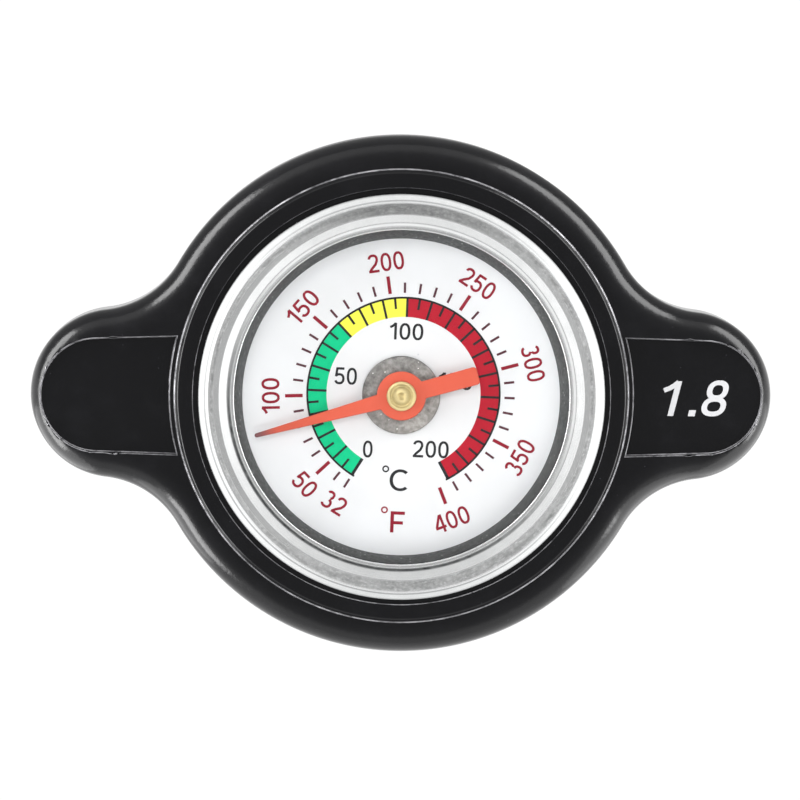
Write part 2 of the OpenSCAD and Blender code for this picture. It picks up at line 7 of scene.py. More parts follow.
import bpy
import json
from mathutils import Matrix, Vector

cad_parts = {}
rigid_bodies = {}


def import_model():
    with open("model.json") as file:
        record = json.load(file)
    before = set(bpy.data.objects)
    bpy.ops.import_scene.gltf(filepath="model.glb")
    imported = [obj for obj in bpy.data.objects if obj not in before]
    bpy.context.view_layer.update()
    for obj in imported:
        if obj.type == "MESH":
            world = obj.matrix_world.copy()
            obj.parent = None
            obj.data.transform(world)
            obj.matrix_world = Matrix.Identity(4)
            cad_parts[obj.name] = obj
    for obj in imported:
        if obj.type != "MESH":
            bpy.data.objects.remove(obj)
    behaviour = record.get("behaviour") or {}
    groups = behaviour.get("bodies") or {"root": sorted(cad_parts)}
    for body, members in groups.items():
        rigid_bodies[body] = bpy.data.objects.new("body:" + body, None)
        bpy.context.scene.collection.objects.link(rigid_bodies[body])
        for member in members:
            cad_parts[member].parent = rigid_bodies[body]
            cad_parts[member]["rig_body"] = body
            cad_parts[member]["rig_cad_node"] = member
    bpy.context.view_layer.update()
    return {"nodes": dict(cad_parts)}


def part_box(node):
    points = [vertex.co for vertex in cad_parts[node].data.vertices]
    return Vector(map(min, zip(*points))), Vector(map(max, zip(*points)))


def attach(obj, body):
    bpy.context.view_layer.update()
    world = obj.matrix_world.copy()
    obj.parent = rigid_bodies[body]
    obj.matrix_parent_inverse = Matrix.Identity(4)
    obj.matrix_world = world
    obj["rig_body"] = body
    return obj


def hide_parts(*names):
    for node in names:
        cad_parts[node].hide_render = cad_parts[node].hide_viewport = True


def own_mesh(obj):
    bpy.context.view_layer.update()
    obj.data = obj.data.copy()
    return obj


bl_info = {
    "name": "Radiator cap thermometer",
    "version": (1, 0, 0),
    "blender": (4, 5, 0),
    "location": "3D View > Sidebar > Cap gauge",
    "description": "Dresses the packed radiator cap thermometer with its detailed pieces and finishes",
    "category": "Object",
}

import json
import math

import bpy
from bpy.props import FloatProperty, FloatVectorProperty, IntProperty, PointerProperty
from mathutils import Matrix, Vector

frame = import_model()
MM = 0.001
WELD = 1e-6
OVERLAP = 1


# Sizes read from the frame, in millimetres

def low(node):
    """Lowest corner of a CAD node."""
    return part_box(node)[0] / MM


def high(node):
    """Highest corner of a CAD node."""
    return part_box(node)[1] / MM


def distances(node):
    """Distances of a CAD node's points from the cap's axis."""
    return [v.co.xy.length / MM for v in frame["nodes"][node].data.vertices]


def bore(node):
    """Least distance of a CAD node's surface from the cap's axis."""
    return min(distances(node))


def reach(node):
    """Greatest distance of a CAD node's surface from the cap's axis."""
    return max(distances(node))


def paint(red, green, blue):
    """A colour read on a screen, 0 to 255, as the linear colour that a shader takes."""
    def linear(c):
        c /= 255
        return c / 12.92 if c <= 0.04045 else ((c + 0.055) / 1.055) ** 2.4
    return (linear(red), linear(green), linear(blue))


# What a user would change

def length(name, description, default):
    """A length property, given in millimetres."""
    return FloatProperty(name=name, description=description, default=default * MM, min=0,
                         precision=5, unit="LENGTH")


def turn_count(name, description, default, least, most):
    """A property for the turns of a wire."""
    return FloatProperty(name=name, description=description, default=default, min=least, max=most)


def colour(name, description, *shade):
    """A colour property, given as read on a screen."""
    return FloatVectorProperty(name=name, description=description, default=paint(*shade),
                               min=0, max=1, size=3, subtype="COLOR")


class CapSizes(bpy.types.PropertyGroup):
    """Sizes of the pieces that the frame doesn't give"""
    spin_steps: IntProperty(name="Spin steps", description="Faces round a turned piece",
                            default=192, min=48, max=360)
    slab_depth: length("Slab depth", "Depth of the cover's winged part below its shoulder", 8)
    rim_rounding: length("Rim rounding", "Rounding of the cover's upper edge", 2.65)
    foot_rounding: length("Foot rounding", "Rounding of the cover's lower edge", 1.4)
    hollow_radius: length("Hollow radius", "Radius of the hollow beside a wing", 8.2)
    wing_radius: length("Wing radius", "Radius of a wing's round end", 7.25)
    recess_gap: length("Recess gap", "Gap between the bezel and the collar's inner edge", 0.45)
    collar_width: length("Collar width", "Width of the collar round the gauge recess", 1.3)
    collar_height: length("Collar height", "Height of the collar above the shoulder", 0.5)
    bare_edge: length("Bare edge", "Width of the worn line along the cover's edges", 0.08)
    flat_depth: length("Flat depth", "Depth of the flat sunk into each wing", 0.85)
    crown_radius: length("Crown radius", "Radius of the bezel's crown", 1.3)
    print_height: length("Print height", "Height of the printing above the dial", 0.012)
    band_inner: length("Band inner radius", "Inner radius of the coloured band", 6.6)
    band_outer: length("Band outer radius", "Outer radius of the coloured band", 8.25)
    figure_radius: length("Figure radius", "Radius of the ring of outer figures", 11.4)
    spring_wire: length("Spring wire", "Wire of the pressure spring", 1.2)
    vacuum_wire: length("Vacuum spring wire", "Wire of the vacuum spring", 0.4)
    coil_wire: length("Coil wire", "Wire of the bimetal coil", 0.5)
    spring_turns: turn_count("Spring turns", "Turns of the pressure spring", 5.2, 3, 8)
    vacuum_turns: turn_count("Vacuum spring turns", "Turns of the vacuum spring", 2.6, 2, 5)
    coil_turns: turn_count("Coil turns", "Turns of the bimetal coil", 7, 4, 9)
    camera_distance: length("Camera distance", "Distance of the camera from the cap", 400)


class CapColours(bpy.types.PropertyGroup):
    """Colours of the finishes"""
    cover: colour("Cover", "Black coat of the cover", 14, 14, 16)
    dial: colour("Dial", "White face of the dial", 248, 249, 250)
    green: colour("Green band", "Band of the low temperatures", 4, 204, 141)
    yellow: colour("Yellow band", "Band of the running temperatures", 248, 252, 84)
    red: colour("Red band", "Band of the high temperatures", 185, 27, 47)
    maroon: colour("Outer print", "Outer figures and ticks", 150, 28, 48)
    ink: colour("Inner print", "Inner figures and lines", 32, 32, 34)
    pointer: colour("Pointer", "Orange coat of the pointer", 202, 84, 60)
    brass: colour("Brass", "Turned brass of the hub and the stem", 224, 205, 148)
    figures: colour("Wing figures", "White figures on the wing", 206, 206, 208)


def sizes():
    """The size properties of the scene."""
    return bpy.context.scene.cap_sizes


def mm(name):
    """A size property in millimetres."""
    return getattr(sizes(), name) / MM


def chosen(name):
    """A colour property of the scene."""
    return tuple(getattr(bpy.context.scene.cap_colours, name))


# Modelling helpers

def clear():
    """Goes back to object mode with nothing selected."""
    if bpy.context.mode != "OBJECT":
        bpy.ops.object.mode_set(mode="OBJECT")
    bpy.ops.object.select_all(action="DESELECT")


def take(obj):
    """Makes one object the only selected one and the active one."""
    clear()
    obj.select_set(True)
    bpy.context.view_layer.objects.active = obj
    return obj


def edit(obj, kind="VERT"):
    """Opens an object in edit mode with all of it selected."""
    take(obj)
    bpy.ops.object.mode_set(mode="EDIT")
    bpy.ops.mesh.select_mode(type=kind)
    bpy.ops.mesh.select_all(action="SELECT")


def done(obj):
    """Leaves edit mode and gives the object back."""
    bpy.ops.object.mode_set(mode="OBJECT")
    return obj


def duplicate(obj):
    """A copy of an object with its own mesh."""
    take(obj)
    bpy.ops.object.duplicate(linked=False)
    return bpy.context.object


def weld(obj, outward=True):
    """Merges points that lie on each other and turns the faces outwards."""
    edit(obj)
    bpy.ops.mesh.remove_doubles(threshold=WELD)
    if outward:
        bpy.ops.mesh.select_all(action="SELECT")
        bpy.ops.mesh.normals_make_consistent(inside=False)
    return done(obj)


def apply(obj, kind, **settings):
    """Adds a modifier with its settings and applies it."""
    take(obj)
    change = obj.modifiers.new(kind.capitalize(), kind)
    for key, value in settings.items():
        setattr(change, key, value)
    bpy.ops.object.modifier_apply(modifier=change.name)
    return obj


def smooth(obj, angle=32, weighted=False):
    """Shades an object smooth, apart from its sharp edges."""
    take(obj)
    bpy.ops.object.shade_smooth_by_angle(angle=math.radians(angle))
    return apply(obj, "WEIGHTED_NORMAL", keep_sharp=True) if weighted else obj


def trace(name, points):
    """A chain of edges through points in millimetres, drawn by extruding one point."""
    clear()
    bpy.ops.mesh.primitive_plane_add(size=MM)
    obj = bpy.context.object
    obj.name = name
    edit(obj)
    bpy.ops.mesh.merge(type="CENTER")
    here = Vector(points[0])
    bpy.ops.transform.translate(value=here * MM)
    for point in points[1:]:
        step = Vector(point) - here
        here = Vector(point)
        bpy.ops.mesh.extrude_region_move(TRANSFORM_OT_translate={"value": step * MM})
    return done(obj)


def lathe(name, outline, steps=None):
    """Spins an outline of (radius, height) points in millimetres round the cap's axis."""
    obj = trace(name, [(r, 0, z) for r, z in outline])
    edit(obj)
    bpy.ops.mesh.spin(steps=steps or sizes().spin_steps, angle=math.tau, center=(0, 0, 0),
                      axis=(0, 0, 1))
    return smooth(weld(done(obj)))


def plug(name, r, z_low, z_high, steps=None):
    """A round plug on the cap's axis, to cut with."""
    return lathe(name, [(0, z_low), (r, z_low), (r, z_high), (0, z_high)], steps)


def rounded(*corners, steps=4):
    """A closed outline from corners (radius, height, rounding), each rounded by an arc."""
    points = []
    for i, (r, z, rounding) in enumerate(corners):
        here = Vector((r, z))
        back = (Vector(corners[i - 1][:2]) - here).normalized()
        ahead = (Vector(corners[(i + 1) % len(corners)][:2]) - here).normalized()
        if not rounding or abs(back.cross(ahead)) < 1e-6:
            points.append((r, z))
            continue
        half = back.angle(ahead) / 2
        centre = here + (back + ahead).normalized() * rounding / math.sin(half)
        first = here + back * rounding / math.tan(half) - centre
        last = here + ahead * rounding / math.tan(half) - centre
        start = math.atan2(first.y, first.x)
        turn = math.remainder(math.atan2(last.y, last.x) - start, math.tau)
        for k in range(steps + 1):
            a = start + turn * k / steps
            points.append((centre.x + rounding * math.cos(a), centre.y + rounding * math.sin(a)))
    return points + points[:1]


def on_circle(centre, radius, angle):
    """A point in millimetres on a circle, its angle in degrees."""
    a = math.radians(angle)
    return (centre[0] + radius * math.cos(a), centre[1] + radius * math.sin(a))


def arc(centre, radius, first, last, steps):
    """Points in millimetres on an arc, its angles in degrees."""
    return [on_circle(centre, radius, first + (last - first) * k / steps) for k in range(steps + 1)]


def slab(name, outline, z_low, z_high):
    """A closed outline of (x, y) points in millimetres, filled and extruded between two heights."""
    obj = trace(name, [(x, y, z_low) for x, y in [*outline, outline[0]]])
    edit(weld(obj, outward=False))
    bpy.ops.mesh.edge_face_add()
    rise = (0, 0, (z_high - z_low) * MM)
    bpy.ops.mesh.extrude_region_move(TRANSFORM_OT_translate={"value": rise})
    return weld(done(obj))


def pick(obj, kind, test=None, sharper=None):
    """Opens an object in edit mode with only those points or edges selected that pass a test.

    Where an angle is given, only edges that are sharper than it are selected.
    """
    edit(obj, kind)
    bpy.ops.mesh.select_all(action="DESELECT")
    if sharper:
        bpy.ops.mesh.edges_select_sharp(sharpness=math.radians(sharper))
    done(obj)
    points = obj.data.vertices
    if kind == "VERT":
        for point in points:
            point.select = test(point.co / MM)
    elif test:
        for edge in obj.data.edges:
            passed = all(test(points[i].co / MM) for i in edge.vertices)
            edge.select = passed and (edge.select or not sharper)
    bpy.ops.object.mode_set(mode="EDIT")


def bevel(obj, width, segments, material=-1, clamp=True):
    """Bevels the selected edges, which may take a material of their own, and leaves edit mode."""
    bpy.ops.mesh.bevel(offset=width * MM, offset_type="OFFSET", segments=segments, profile=0.5,
                       affect="EDGES", clamp_overlap=clamp, material=material, loop_slide=True)
    return done(obj)


def break_edges(obj, width, sharper, segments, material=-1, test=None, clamp=True):
    """Breaks an object's sharp edges by a small bevel."""
    pick(obj, "EDGE", test, sharper)
    return bevel(obj, width, segments, material, clamp)


def combine(obj, tool, operation):
    """Joins a tool to an object, or cuts it away, and removes the tool."""
    apply(obj, "BOOLEAN", operation=operation, solver="EXACT", object=tool)
    bpy.data.objects.remove(tool)
    return obj


def copy_of(node, name, edge, segments, sharper=40):
    """A welded copy of a CAD node with its sharp edges broken."""
    flat_angle, smooth_angle = 0.4, 40
    obj = duplicate(frame["nodes"][node])
    obj.name = name
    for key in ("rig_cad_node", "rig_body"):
        if key in obj:
            del obj[key]
    bpy.ops.object.parent_clear(type="CLEAR_KEEP_TRANSFORM")
    obj.data.materials.clear()
    edit(weld(obj, outward=False))
    bpy.ops.mesh.dissolve_limited(angle_limit=math.radians(flat_angle))
    break_edges(done(obj), edge, sharper, segments)
    return smooth(obj, smooth_angle, weighted=True)


def wound(name, radius, turns, wire, z_low, z_high):
    """A wire wound between two heights, in millimetres, with a dead stretch on each end."""
    dead, per_turn = 0.4, 40
    count = round(turns * per_turn)
    points = [(radius, -wire, z_low)]
    for k in range(count + 1):
        u = turns * k / count
        rise = min(max(u - dead, 0), turns - 2 * dead) / (turns - 2 * dead)
        points.append((radius * math.cos(math.tau * u), radius * math.sin(math.tau * u),
                       z_low + (z_high - z_low) * rise))
    end = math.tau * turns
    points.append((radius * math.cos(end) - wire * math.sin(end),
                   radius * math.sin(end) + wire * math.cos(end), z_high))
    clear()
    bpy.ops.curve.primitive_nurbs_path_add()
    obj = bpy.context.object
    obj.name = name
    obj.data.splines.clear()
    line = obj.data.splines.new("POLY")
    line.points.add(len(points) - 1)
    for point, spot in zip(line.points, points):
        point.co = (*(Vector(spot) * MM), 1)
    obj.data.bevel_depth = wire / 2 * MM
    obj.data.bevel_resolution = 4
    obj.data.use_fill_caps = True
    bpy.ops.object.convert(target="MESH")
    return smooth(weld(bpy.context.object), 50)


def join(name, objs):
    """Joins objects into the first one."""
    take(objs[0])
    for obj in objs[1:]:
        obj.select_set(True)
    bpy.ops.object.join()
    objs[0].name = name
    return objs[0]


def place(obj, turn=0, at=(0, 0, 0), scale=(1, 1, 1)):
    """Scales, turns by degrees round Z and moves an object, all in its mesh."""
    take(obj)
    obj.scale = scale
    obj.rotation_euler = (0, 0, math.radians(turn))
    obj.location = Vector(at) * MM
    bpy.ops.object.transform_apply(location=True, rotation=True, scale=True)
    return obj


def coat(obj, *names):
    """Gives an object its finishes by their names."""
    for name in names:
        obj.data.materials.append(FINISHES[name])
    return obj


def settle(obj, body, slot, *nodes):
    """Puts a finished piece on its body, in place of the nodes that it stands for."""
    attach(obj, body)
    if nodes:
        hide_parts(*nodes)
    return obj


def settle_copies(*rows):
    """Settles copies of CAD nodes: rows of node, name, body, slot, finish and copy_of's values."""
    for node, name, body, slot, kind, *edges in rows:
        settle(coat(copy_of(node, name, *edges), kind), body, slot, node)


# Flat figures

def oval(cx, cy, rx, ry, first, last, steps=26, square=2.3):
    """Points on a squarish oval, as the bowls of figures have, its angles in degrees."""
    points = []
    for k in range(steps + 1):
        a = math.radians(first + (last - first) * k / steps)
        c, s = math.cos(a), math.sin(a)
        points.append((cx + rx * math.copysign(abs(c) ** (2 / square), c),
                       cy + ry * math.copysign(abs(s) ** (2 / square), s)))
    return points


def bowl(cx, cy, rx, ry):
    """A closed bowl of a figure, in two halves."""
    return [oval(cx, cy, rx, ry, 90, 270), oval(cx, cy, rx, ry, -90, 90)]


def strokes(sign, w):
    """Centre lines of a figure one unit high, drawn with a stroke of width w."""
    a = w / 2
    return {
        "0": bowl(0.3, 0.5, 0.3 - a, 0.5 - a),
        "1": [[(0.4, 0), (0.4, 1)], [(0.1, 0.73), (0.23, 0.8), (0.33, 0.89), (0.4, 0.98)]],
        "2": [oval(0.3, 0.715, 0.29 - a, 0.285 - a, 172, -22) + [(0.42, 0.44), (0.2, 0.24), (0.06, 0.06)],
              [(0.01, a), (0.6, a)]],
        "3": [oval(0.29, 0.75, 0.25 - a, 0.25 - a, 155, -70),
              oval(0.29, 0.28, 0.3 - a, 0.28 - a, 80, -160)],
        "4": [[(0.42, 0.97), (0.06, 0.34)], [(0.0, 0.29), (0.62, 0.29)], [(0.46, 0), (0.46, 1)]],
        "5": [[(0.12, 1 - a), (0.56, 1 - a)], [(0.15, 0.98), (0.08, 0.46)],
              oval(0.28, 0.33, 0.31 - a, 0.33 - a, 142, -160)],
        "8": bowl(0.3, 0.75, 0.265 - a, 0.25 - a / 2) + bowl(0.3, 0.28, 0.3 - a, 0.28 - a),
        "C": [oval(0.42, 0.5, 0.41 - a, 0.5 - a, 48, 312, 40, 2.1)],
        "F": [[(a, 0), (a, 1)], [(0, 1 - a), (0.62, 1 - a)], [(0, 0.54 - a), (0.55, 0.54 - a)]],
        ".": [[(0, a), (w, a)]],
    }[sign]


def ribbon(line, w):
    """Outline of a stroke of width w along a centre line."""
    points = [Vector(point) for point in line]
    left, right = [], []
    for i, here in enumerate(points):
        ways = [(points[j + 1] - points[j]).normalized() for j in (i - 1, i) if 0 <= j < len(points) - 1]
        way = sum(ways, Vector((0, 0))).normalized()
        side = Vector((-way.y, way.x)) * w / 2 / max(0.5, way.dot(ways[0]))
        left.append(tuple(here + side))
        right.append(tuple(here - side))
    return left + right[::-1]


GLYPHS = {}
ADVANCE = {"1": 0.62, ".": 0.4}
USUAL_ADVANCE = 0.72


def glyph(sign, w):
    """A copy of a flat figure one millimetre high, which is modelled once."""
    if (sign, w) not in GLYPHS:
        whole, *others = [slab("stroke", ribbon(line, w), 0, 1) for line in strokes(sign, w)]
        for part in others:
            combine(whole, part, "UNION")
        GLYPHS[sign, w] = whole
    return duplicate(GLYPHS[sign, w])


def figure(text, width, height, at, turn=0, slant=0, weight=0.14, thick=None):
    """Flat figures of a width and height in millimetres, with their middle at a point.

    They are as thick as the printing where no thickness is given.
    """
    thick = thick or mm("print_height")
    parts, x = [], 0
    for sign in text:
        parts.append(place(glyph(sign, weight), at=(x, 0, 0)))
        x += ADVANCE.get(sign, USUAL_ADVANCE)
    obj = join("figures", parts)
    obj.data.transform(Matrix(((1, slant, 0, 0), (0, 1, 0, 0), (0, 0, 1, 0), (0, 0, 0, 1))))
    spots = [v.co for v in obj.data.vertices]
    least = [min(c[i] for c in spots) for i in range(3)]
    most = [max(c[i] for c in spots) for i in range(3)]
    middle = Vector([(a + b) / 2 for a, b in zip(least, most)]) / MM
    place(obj, at=-middle)
    place(obj, scale=[size * MM / (b - a) for size, a, b in zip((width, height, thick), least, most)])
    return place(obj, turn, (at[0], at[1], at[2] + thick / 2))


# Shader trees

class Nodes:
    """A node tree, built up by short calls that give back outputs."""

    def __init__(self, tree):
        self.tree = tree

    def set(self, socket, value):
        """Gives a socket a value, or a link where the value is another socket."""
        if isinstance(value, bpy.types.NodeSocket):
            self.tree.links.new(value, socket)
        else:
            socket.default_value = value

    def add(self, kind, inputs=None, **settings):
        """Adds a shader node with its settings, and with a value or a link for each input."""
        made = self.tree.nodes.new("ShaderNode" + kind)
        columns, across, down = 8, 180, 220
        row, column = divmod(len(self.tree.nodes), columns)
        made.location = (across * column, -down * row)
        for key, value in settings.items():
            setattr(made, key, value)
        for key, value in (inputs or {}).items():
            self.set(made.inputs[key], value)
        return made

    def math(self, operation, *values):
        """Works out values."""
        return self.add("Math", dict(enumerate(values)), operation=operation).outputs[0]

    def plus(self, first, second):
        """The sum of two values."""
        return self.math("ADD", first, second)

    def minus(self, first, second):
        """The difference of two values."""
        return self.math("SUBTRACT", first, second)

    def times(self, first, second):
        """The product of two values."""
        return self.math("MULTIPLY", first, second)

    def most(self, first, second):
        """The greater of two values."""
        return self.math("MAXIMUM", first, second)

    def vector(self, operation, *values, output="Vector"):
        """Works out vectors."""
        return self.add("VectorMath", dict(enumerate(values)), operation=operation).outputs[output]

    def along(self, way):
        """How far the shaded point lies along a direction."""
        return self.vector("DOT_PRODUCT", self.spot(), way, output="Value")

    def remap(self, value, low, high, to_low=0.0, to_high=1.0, kind="LINEAR"):
        """Maps a value from one range to another, held at the ends."""
        return self.add("MapRange", {"Value": value, "From Min": low, "From Max": high, "To Min": to_low,
                                     "To Max": to_high}, interpolation_type=kind).outputs[0]

    def spot(self):
        """Object coordinates of the shaded point."""
        return self.add("TexCoord").outputs["Object"]

    def flat(self):
        """Place of the shaded point, without its height."""
        return self.vector("MULTIPLY", self.spot(), (1, 1, 0))

    def around(self):
        """Direction of the shaded point from the cap's axis."""
        return self.vector("NORMALIZE", self.flat())

    def axis_distance(self):
        """Distance of the shaded point from the cap's axis."""
        return self.vector("LENGTH", self.flat(), output="Value")

    def parts(self, value):
        """The three parts of a vector."""
        return self.add("SeparateXYZ", {0: value}).outputs


class Effect(Nodes):
    """A shader group with named inputs and one output, which finishes share."""

    def __init__(self, name, output, **inputs):
        super().__init__(bpy.data.node_groups.new(name, "ShaderNodeTree"))
        number = "NodeSocketFloat"
        sockets = self.tree.interface
        for label, default in inputs.items():
            sockets.new_socket(name=label, in_out="INPUT", socket_type=number).default_value = default
        sockets.new_socket(name=output, in_out="OUTPUT", socket_type=number)
        self.given = self.tree.nodes.new("NodeGroupInput").outputs
        self.result = self.tree.nodes.new("NodeGroupOutput").inputs[output]

    def give(self, value):
        """Puts a value out."""
        self.set(self.result, value)

    def noise(self, spot, scale, detail, roughness):
        """Noise over a place."""
        return self.add("TexNoise", {"Vector": spot, "Scale": scale, "Detail": detail,
                                     "Roughness": roughness}).outputs[0]

    def give_spread(self, value, start, end):
        """Puts a noise value out, mapped to the Low and High inputs."""
        self.give(self.remap(value, start, end, self.given["Low"], self.given["High"]))


def make_grain():
    """Fine grain, as of a cast or sprayed surface."""
    e = Effect("Fine grain", "Value", Scale=4000.0, Low=0.0, High=1.0)
    e.give_spread(e.noise(e.spot(), e.given["Scale"], 4.0, 0.6), 0.3, 0.7)


def make_turning():
    """Rings left by turning, round the cap's axis."""
    e = Effect("Turning rings", "Value", Scale=9000.0, Low=0.0, High=1.0)
    far = e.times(e.axis_distance(), e.given["Scale"])
    noise = e.add("TexNoise", {"W": far, "Scale": 1.0, "Detail": 5.0, "Roughness": 0.65},
                  noise_dimensions="1D")
    e.give_spread(noise.outputs[0], 0.3, 0.7)


def make_streaks():
    """Streaks left by brushing round the cap's axis."""
    e = Effect("Brushed streaks", "Value", Scale=9000.0, Length=40.0, Low=0.0, High=1.0)
    along = e.add("VectorMath", {0: e.around(), "Scale": e.given["Length"]}, operation="SCALE")
    across = e.add("CombineXYZ", {"Z": e.times(e.axis_distance(), e.given["Scale"])})
    spot = e.vector("ADD", along.outputs[0], across.outputs[0])
    e.give_spread(e.noise(spot, 1.0, 5.0, 0.62), 0.32, 0.68)


def make_specks():
    """Scattered specks, as of dust or pinholes; 1 on a speck."""
    e = Effect("Scattered specks", "Mask", Scale=1500.0, Size=0.12, Share=0.3)
    cells = e.add("TexVoronoi", {"Vector": e.spot(), "Scale": e.given["Scale"]})
    chance = e.add("SeparateColor", {0: cells.outputs["Color"]}).outputs[0]
    near = e.math("LESS_THAN", cells.outputs["Distance"], e.given["Size"])
    e.give(e.times(near, e.math("LESS_THAN", chance, e.given["Share"])))


def make_wear():
    """Uneven patches, as of wear or handling; 1 where worn."""
    e = Effect("Worn patches", "Mask", Scale=300.0, Share=0.5, Softness=0.1)
    share, softness = e.given["Share"], e.given["Softness"]
    noise = e.noise(e.spot(), e.given["Scale"], 6.0, 0.7)
    e.give(e.remap(noise, e.minus(share, softness), e.plus(share, softness), 1.0, 0.0, "SMOOTHSTEP"))


def make_ring():
    """A soft ring between two distances from the cap's axis; 1 inside it."""
    e = Effect("Ring band", "Mask", Inner=0.0, Outer=0.01, Softness=0.0002)
    inner, outer, softness = e.given["Inner"], e.given["Outer"], e.given["Softness"]
    far = e.axis_distance()
    into = e.remap(far, inner, e.plus(inner, softness), kind="SMOOTHSTEP")
    away = e.remap(far, e.minus(outer, softness), outer, 1.0, 0.0, "SMOOTHSTEP")
    e.give(e.times(into, away))


# Finishes

BEYOND = 1000


class Finish(Nodes):
    """A material with a Principled shader; its lengths are in millimetres."""

    def __init__(self, name, **constants):
        self.material = bpy.data.materials.new(name)
        self.material.use_nodes = True
        super().__init__(self.material.node_tree)
        self.tree.nodes.clear()
        self.out = self.add("OutputMaterial").inputs[0]
        values = {key.replace("_", " "): value for key, value in constants.items()}
        self.shader = self.add("BsdfPrincipled", values)
        self.set(self.out, self.shader.outputs[0])

    def effect(self, group, **inputs):
        """Places a shader group with its own values and gives its output."""
        return self.add("Group", inputs, node_tree=bpy.data.node_groups[group]).outputs[0]

    def grain(self, scale, low=0.0, high=1.0):
        """Fine grain between two values."""
        return self.effect("Fine grain", Scale=scale, Low=low, High=high)

    def worn(self, scale, share, softness):
        """Worn patches over a share of the surface."""
        return self.effect("Worn patches", Scale=scale, Share=share, Softness=softness)

    def specks(self, scale, size, share):
        """Scattered specks on a share of the surface."""
        return self.effect("Scattered specks", Scale=scale, Size=size, Share=share)

    def ring(self, inner, outer, softness):
        """A soft ring round the cap's axis."""
        return self.effect("Ring band", Inner=inner * MM, Outer=outer * MM, Softness=softness * MM)

    def mix(self, mask, first, second):
        """Mixes two colours by a mask."""
        made = self.add("Mix", {0: mask}, data_type="RGBA")
        for socket, value in ((made.inputs[6], first), (made.inputs[7], second)):
            self.set(socket, value if isinstance(value, bpy.types.NodeSocket) else (*value, 1))
        return made.outputs[2]

    def feed(self, socket, value):
        """Links a value to a socket of the shader."""
        self.set(self.shader.inputs[socket], value)

    def bump(self, height, depth):
        """Feeds a height, with its relief at full value, to the shader's normal; gives the material."""
        made = self.add("Bump", {"Height": height, "Distance": depth * MM, "Strength": 1.0})
        self.feed("Normal", made.outputs[0])
        return self.material


def shade(base, factor):
    """A colour made lighter or darker."""
    return tuple(min(1, c * factor) for c in base)


def tint(base, *factors):
    """A colour with each of its parts made weaker."""
    return tuple(c * factor for c, factor in zip(base, factors))


def black_coat():
    """Satin black coat over cast metal, with a faint orange peel, dust and handling marks."""
    base = chosen("cover")
    f = Finish("Black coat", Specular_IOR_Level=0.45, IOR=1.5)
    tone = f.mix(f.worn(240.0, 0.42, 0.12), base, shade(base, 1.5))
    f.feed("Base Color", f.mix(f.specks(1300.0, 0.07, 0.12), tone, shade(base, 5)))
    f.feed("Roughness", f.grain(2600.0, 0.13, 0.2))
    return f.bump(f.grain(1800.0), 0.006)


def bare_edge(recess):
    """Bare metal in an uneven line where the coat has worn off; along the recess's inner edge the line is a
    painted highlight instead, faded out toward +Y.
    """
    f = Finish("Bare edge")
    runs = f.plus(f.times(f.worn(110.0, 0.5, 0.16), 0.7), 0.3)
    worn = f.times(f.worn(1100.0, 0.54, 0.2), runs)
    # Along the recess's inner edge the bare line is a painted highlight of the edge, kept at the lower side
    # and faded out toward +Y
    inner = f.ring(-BEYOND, recess + 0.3, 0.1)
    far = f.remap(f.parts(f.spot())["Y"], 0.0, 9 * MM, 0.0, 0.85)
    worn = f.times(worn, f.minus(1.0, f.times(inner, far)))
    f.feed("Base Color", f.mix(worn, shade(chosen("cover"), 4), paint(200, 199, 203)))
    f.feed("Metallic", f.times(worn, 0.5))
    f.feed("Roughness", f.grain(5000.0, 0.3, 0.5))
    return f.material


def polished_rim(crown, lip):
    """Bright plated metal, handled and dulled in places and brushed on its crown, with painted shade in its
    groove, on its skirt and at the top and bottom of its brushed band.
    """
    f = Finish("Polished rim")
    streaks = f.effect("Brushed streaks", Scale=5200.0, Length=26.0, Low=0.0, High=1.0)
    cloud = f.worn(230.0, 0.5, 0.25)

    # The brushed band is narrower at the left, and painted shade darkens it toward black at the top and the
    # bottom
    around = f.parts(f.around())
    left = f.minus(around["X"], 0.12)
    wide = f.ring(crown - 0.5, crown + 0.64, 0.2)
    narrow = f.ring(crown - 0.08, crown + 0.42, 0.2)
    band = f.add("Mix", {0: f.times(left, left), 2: wide, 3: narrow}).outputs[0]
    above = f.remap(around["Y"], 0.6, 1.0, 0.0, 0.43)
    below = f.remap(around["Y"], -0.6, -1.0, 0.0, 0.17)
    dull = f.mix(cloud, paint(132, 133, 133), paint(190, 191, 191))
    brushed = f.mix(f.times(streaks, f.grain(4200.0)), dull, paint(244, 245, 245))
    brushed = f.mix(f.plus(above, below), brushed, paint(0, 0, 0))
    plate = f.mix(f.times(cloud, 0.5), paint(246, 247, 247), paint(216, 218, 218))

    # Painted shade darkens the groove toward the lower left, a thin line outside the band at the top and the
    # lower left, and the outer skirt all round
    lower = f.remap(f.along((-28.0, -54.0, 0.0)), -0.3, 0.6)
    groove_shade_tone = f.mix(streaks, paint(38, 40, 41), paint(130, 132, 132))
    groove_painted_shade = f.mix(lower, paint(240, 241, 241), groove_shade_tone)
    groove = f.ring(lip + 0.3, lip + 0.64, 0.12)
    skirt = f.ring(crown + 1.1, BEYOND, 0.25)
    line = f.ring(crown + 0.64, crown + 0.86, 0.08)
    ends = f.most(f.times(above, 2.0), lower)
    edge = f.most(f.times(line, f.times(ends, 0.5)), f.times(skirt, 0.7))
    faced = f.mix(edge, f.mix(band, plate, brushed), paint(84, 86, 88))
    f.feed("Base Color", f.mix(groove, faced, groove_painted_shade))

    # The groove is made less metallic, less so toward the lower left, by the same mask as its painted shade
    groove_matt = f.times(groove, f.minus(0.7, f.times(lower, 0.4)))
    f.feed("Metallic", f.minus(0.74, f.plus(f.times(band, 0.34), groove_matt)))
    f.feed("Roughness", f.plus(f.plus(f.times(band, 0.3), f.times(cloud, 0.07)), 0.1))
    lines = f.plus(f.effect("Turning rings", Scale=16000.0, Low=0.2, High=1.0), streaks)
    return f.bump(f.times(lines, f.plus(band, 0.15)), 0.007)


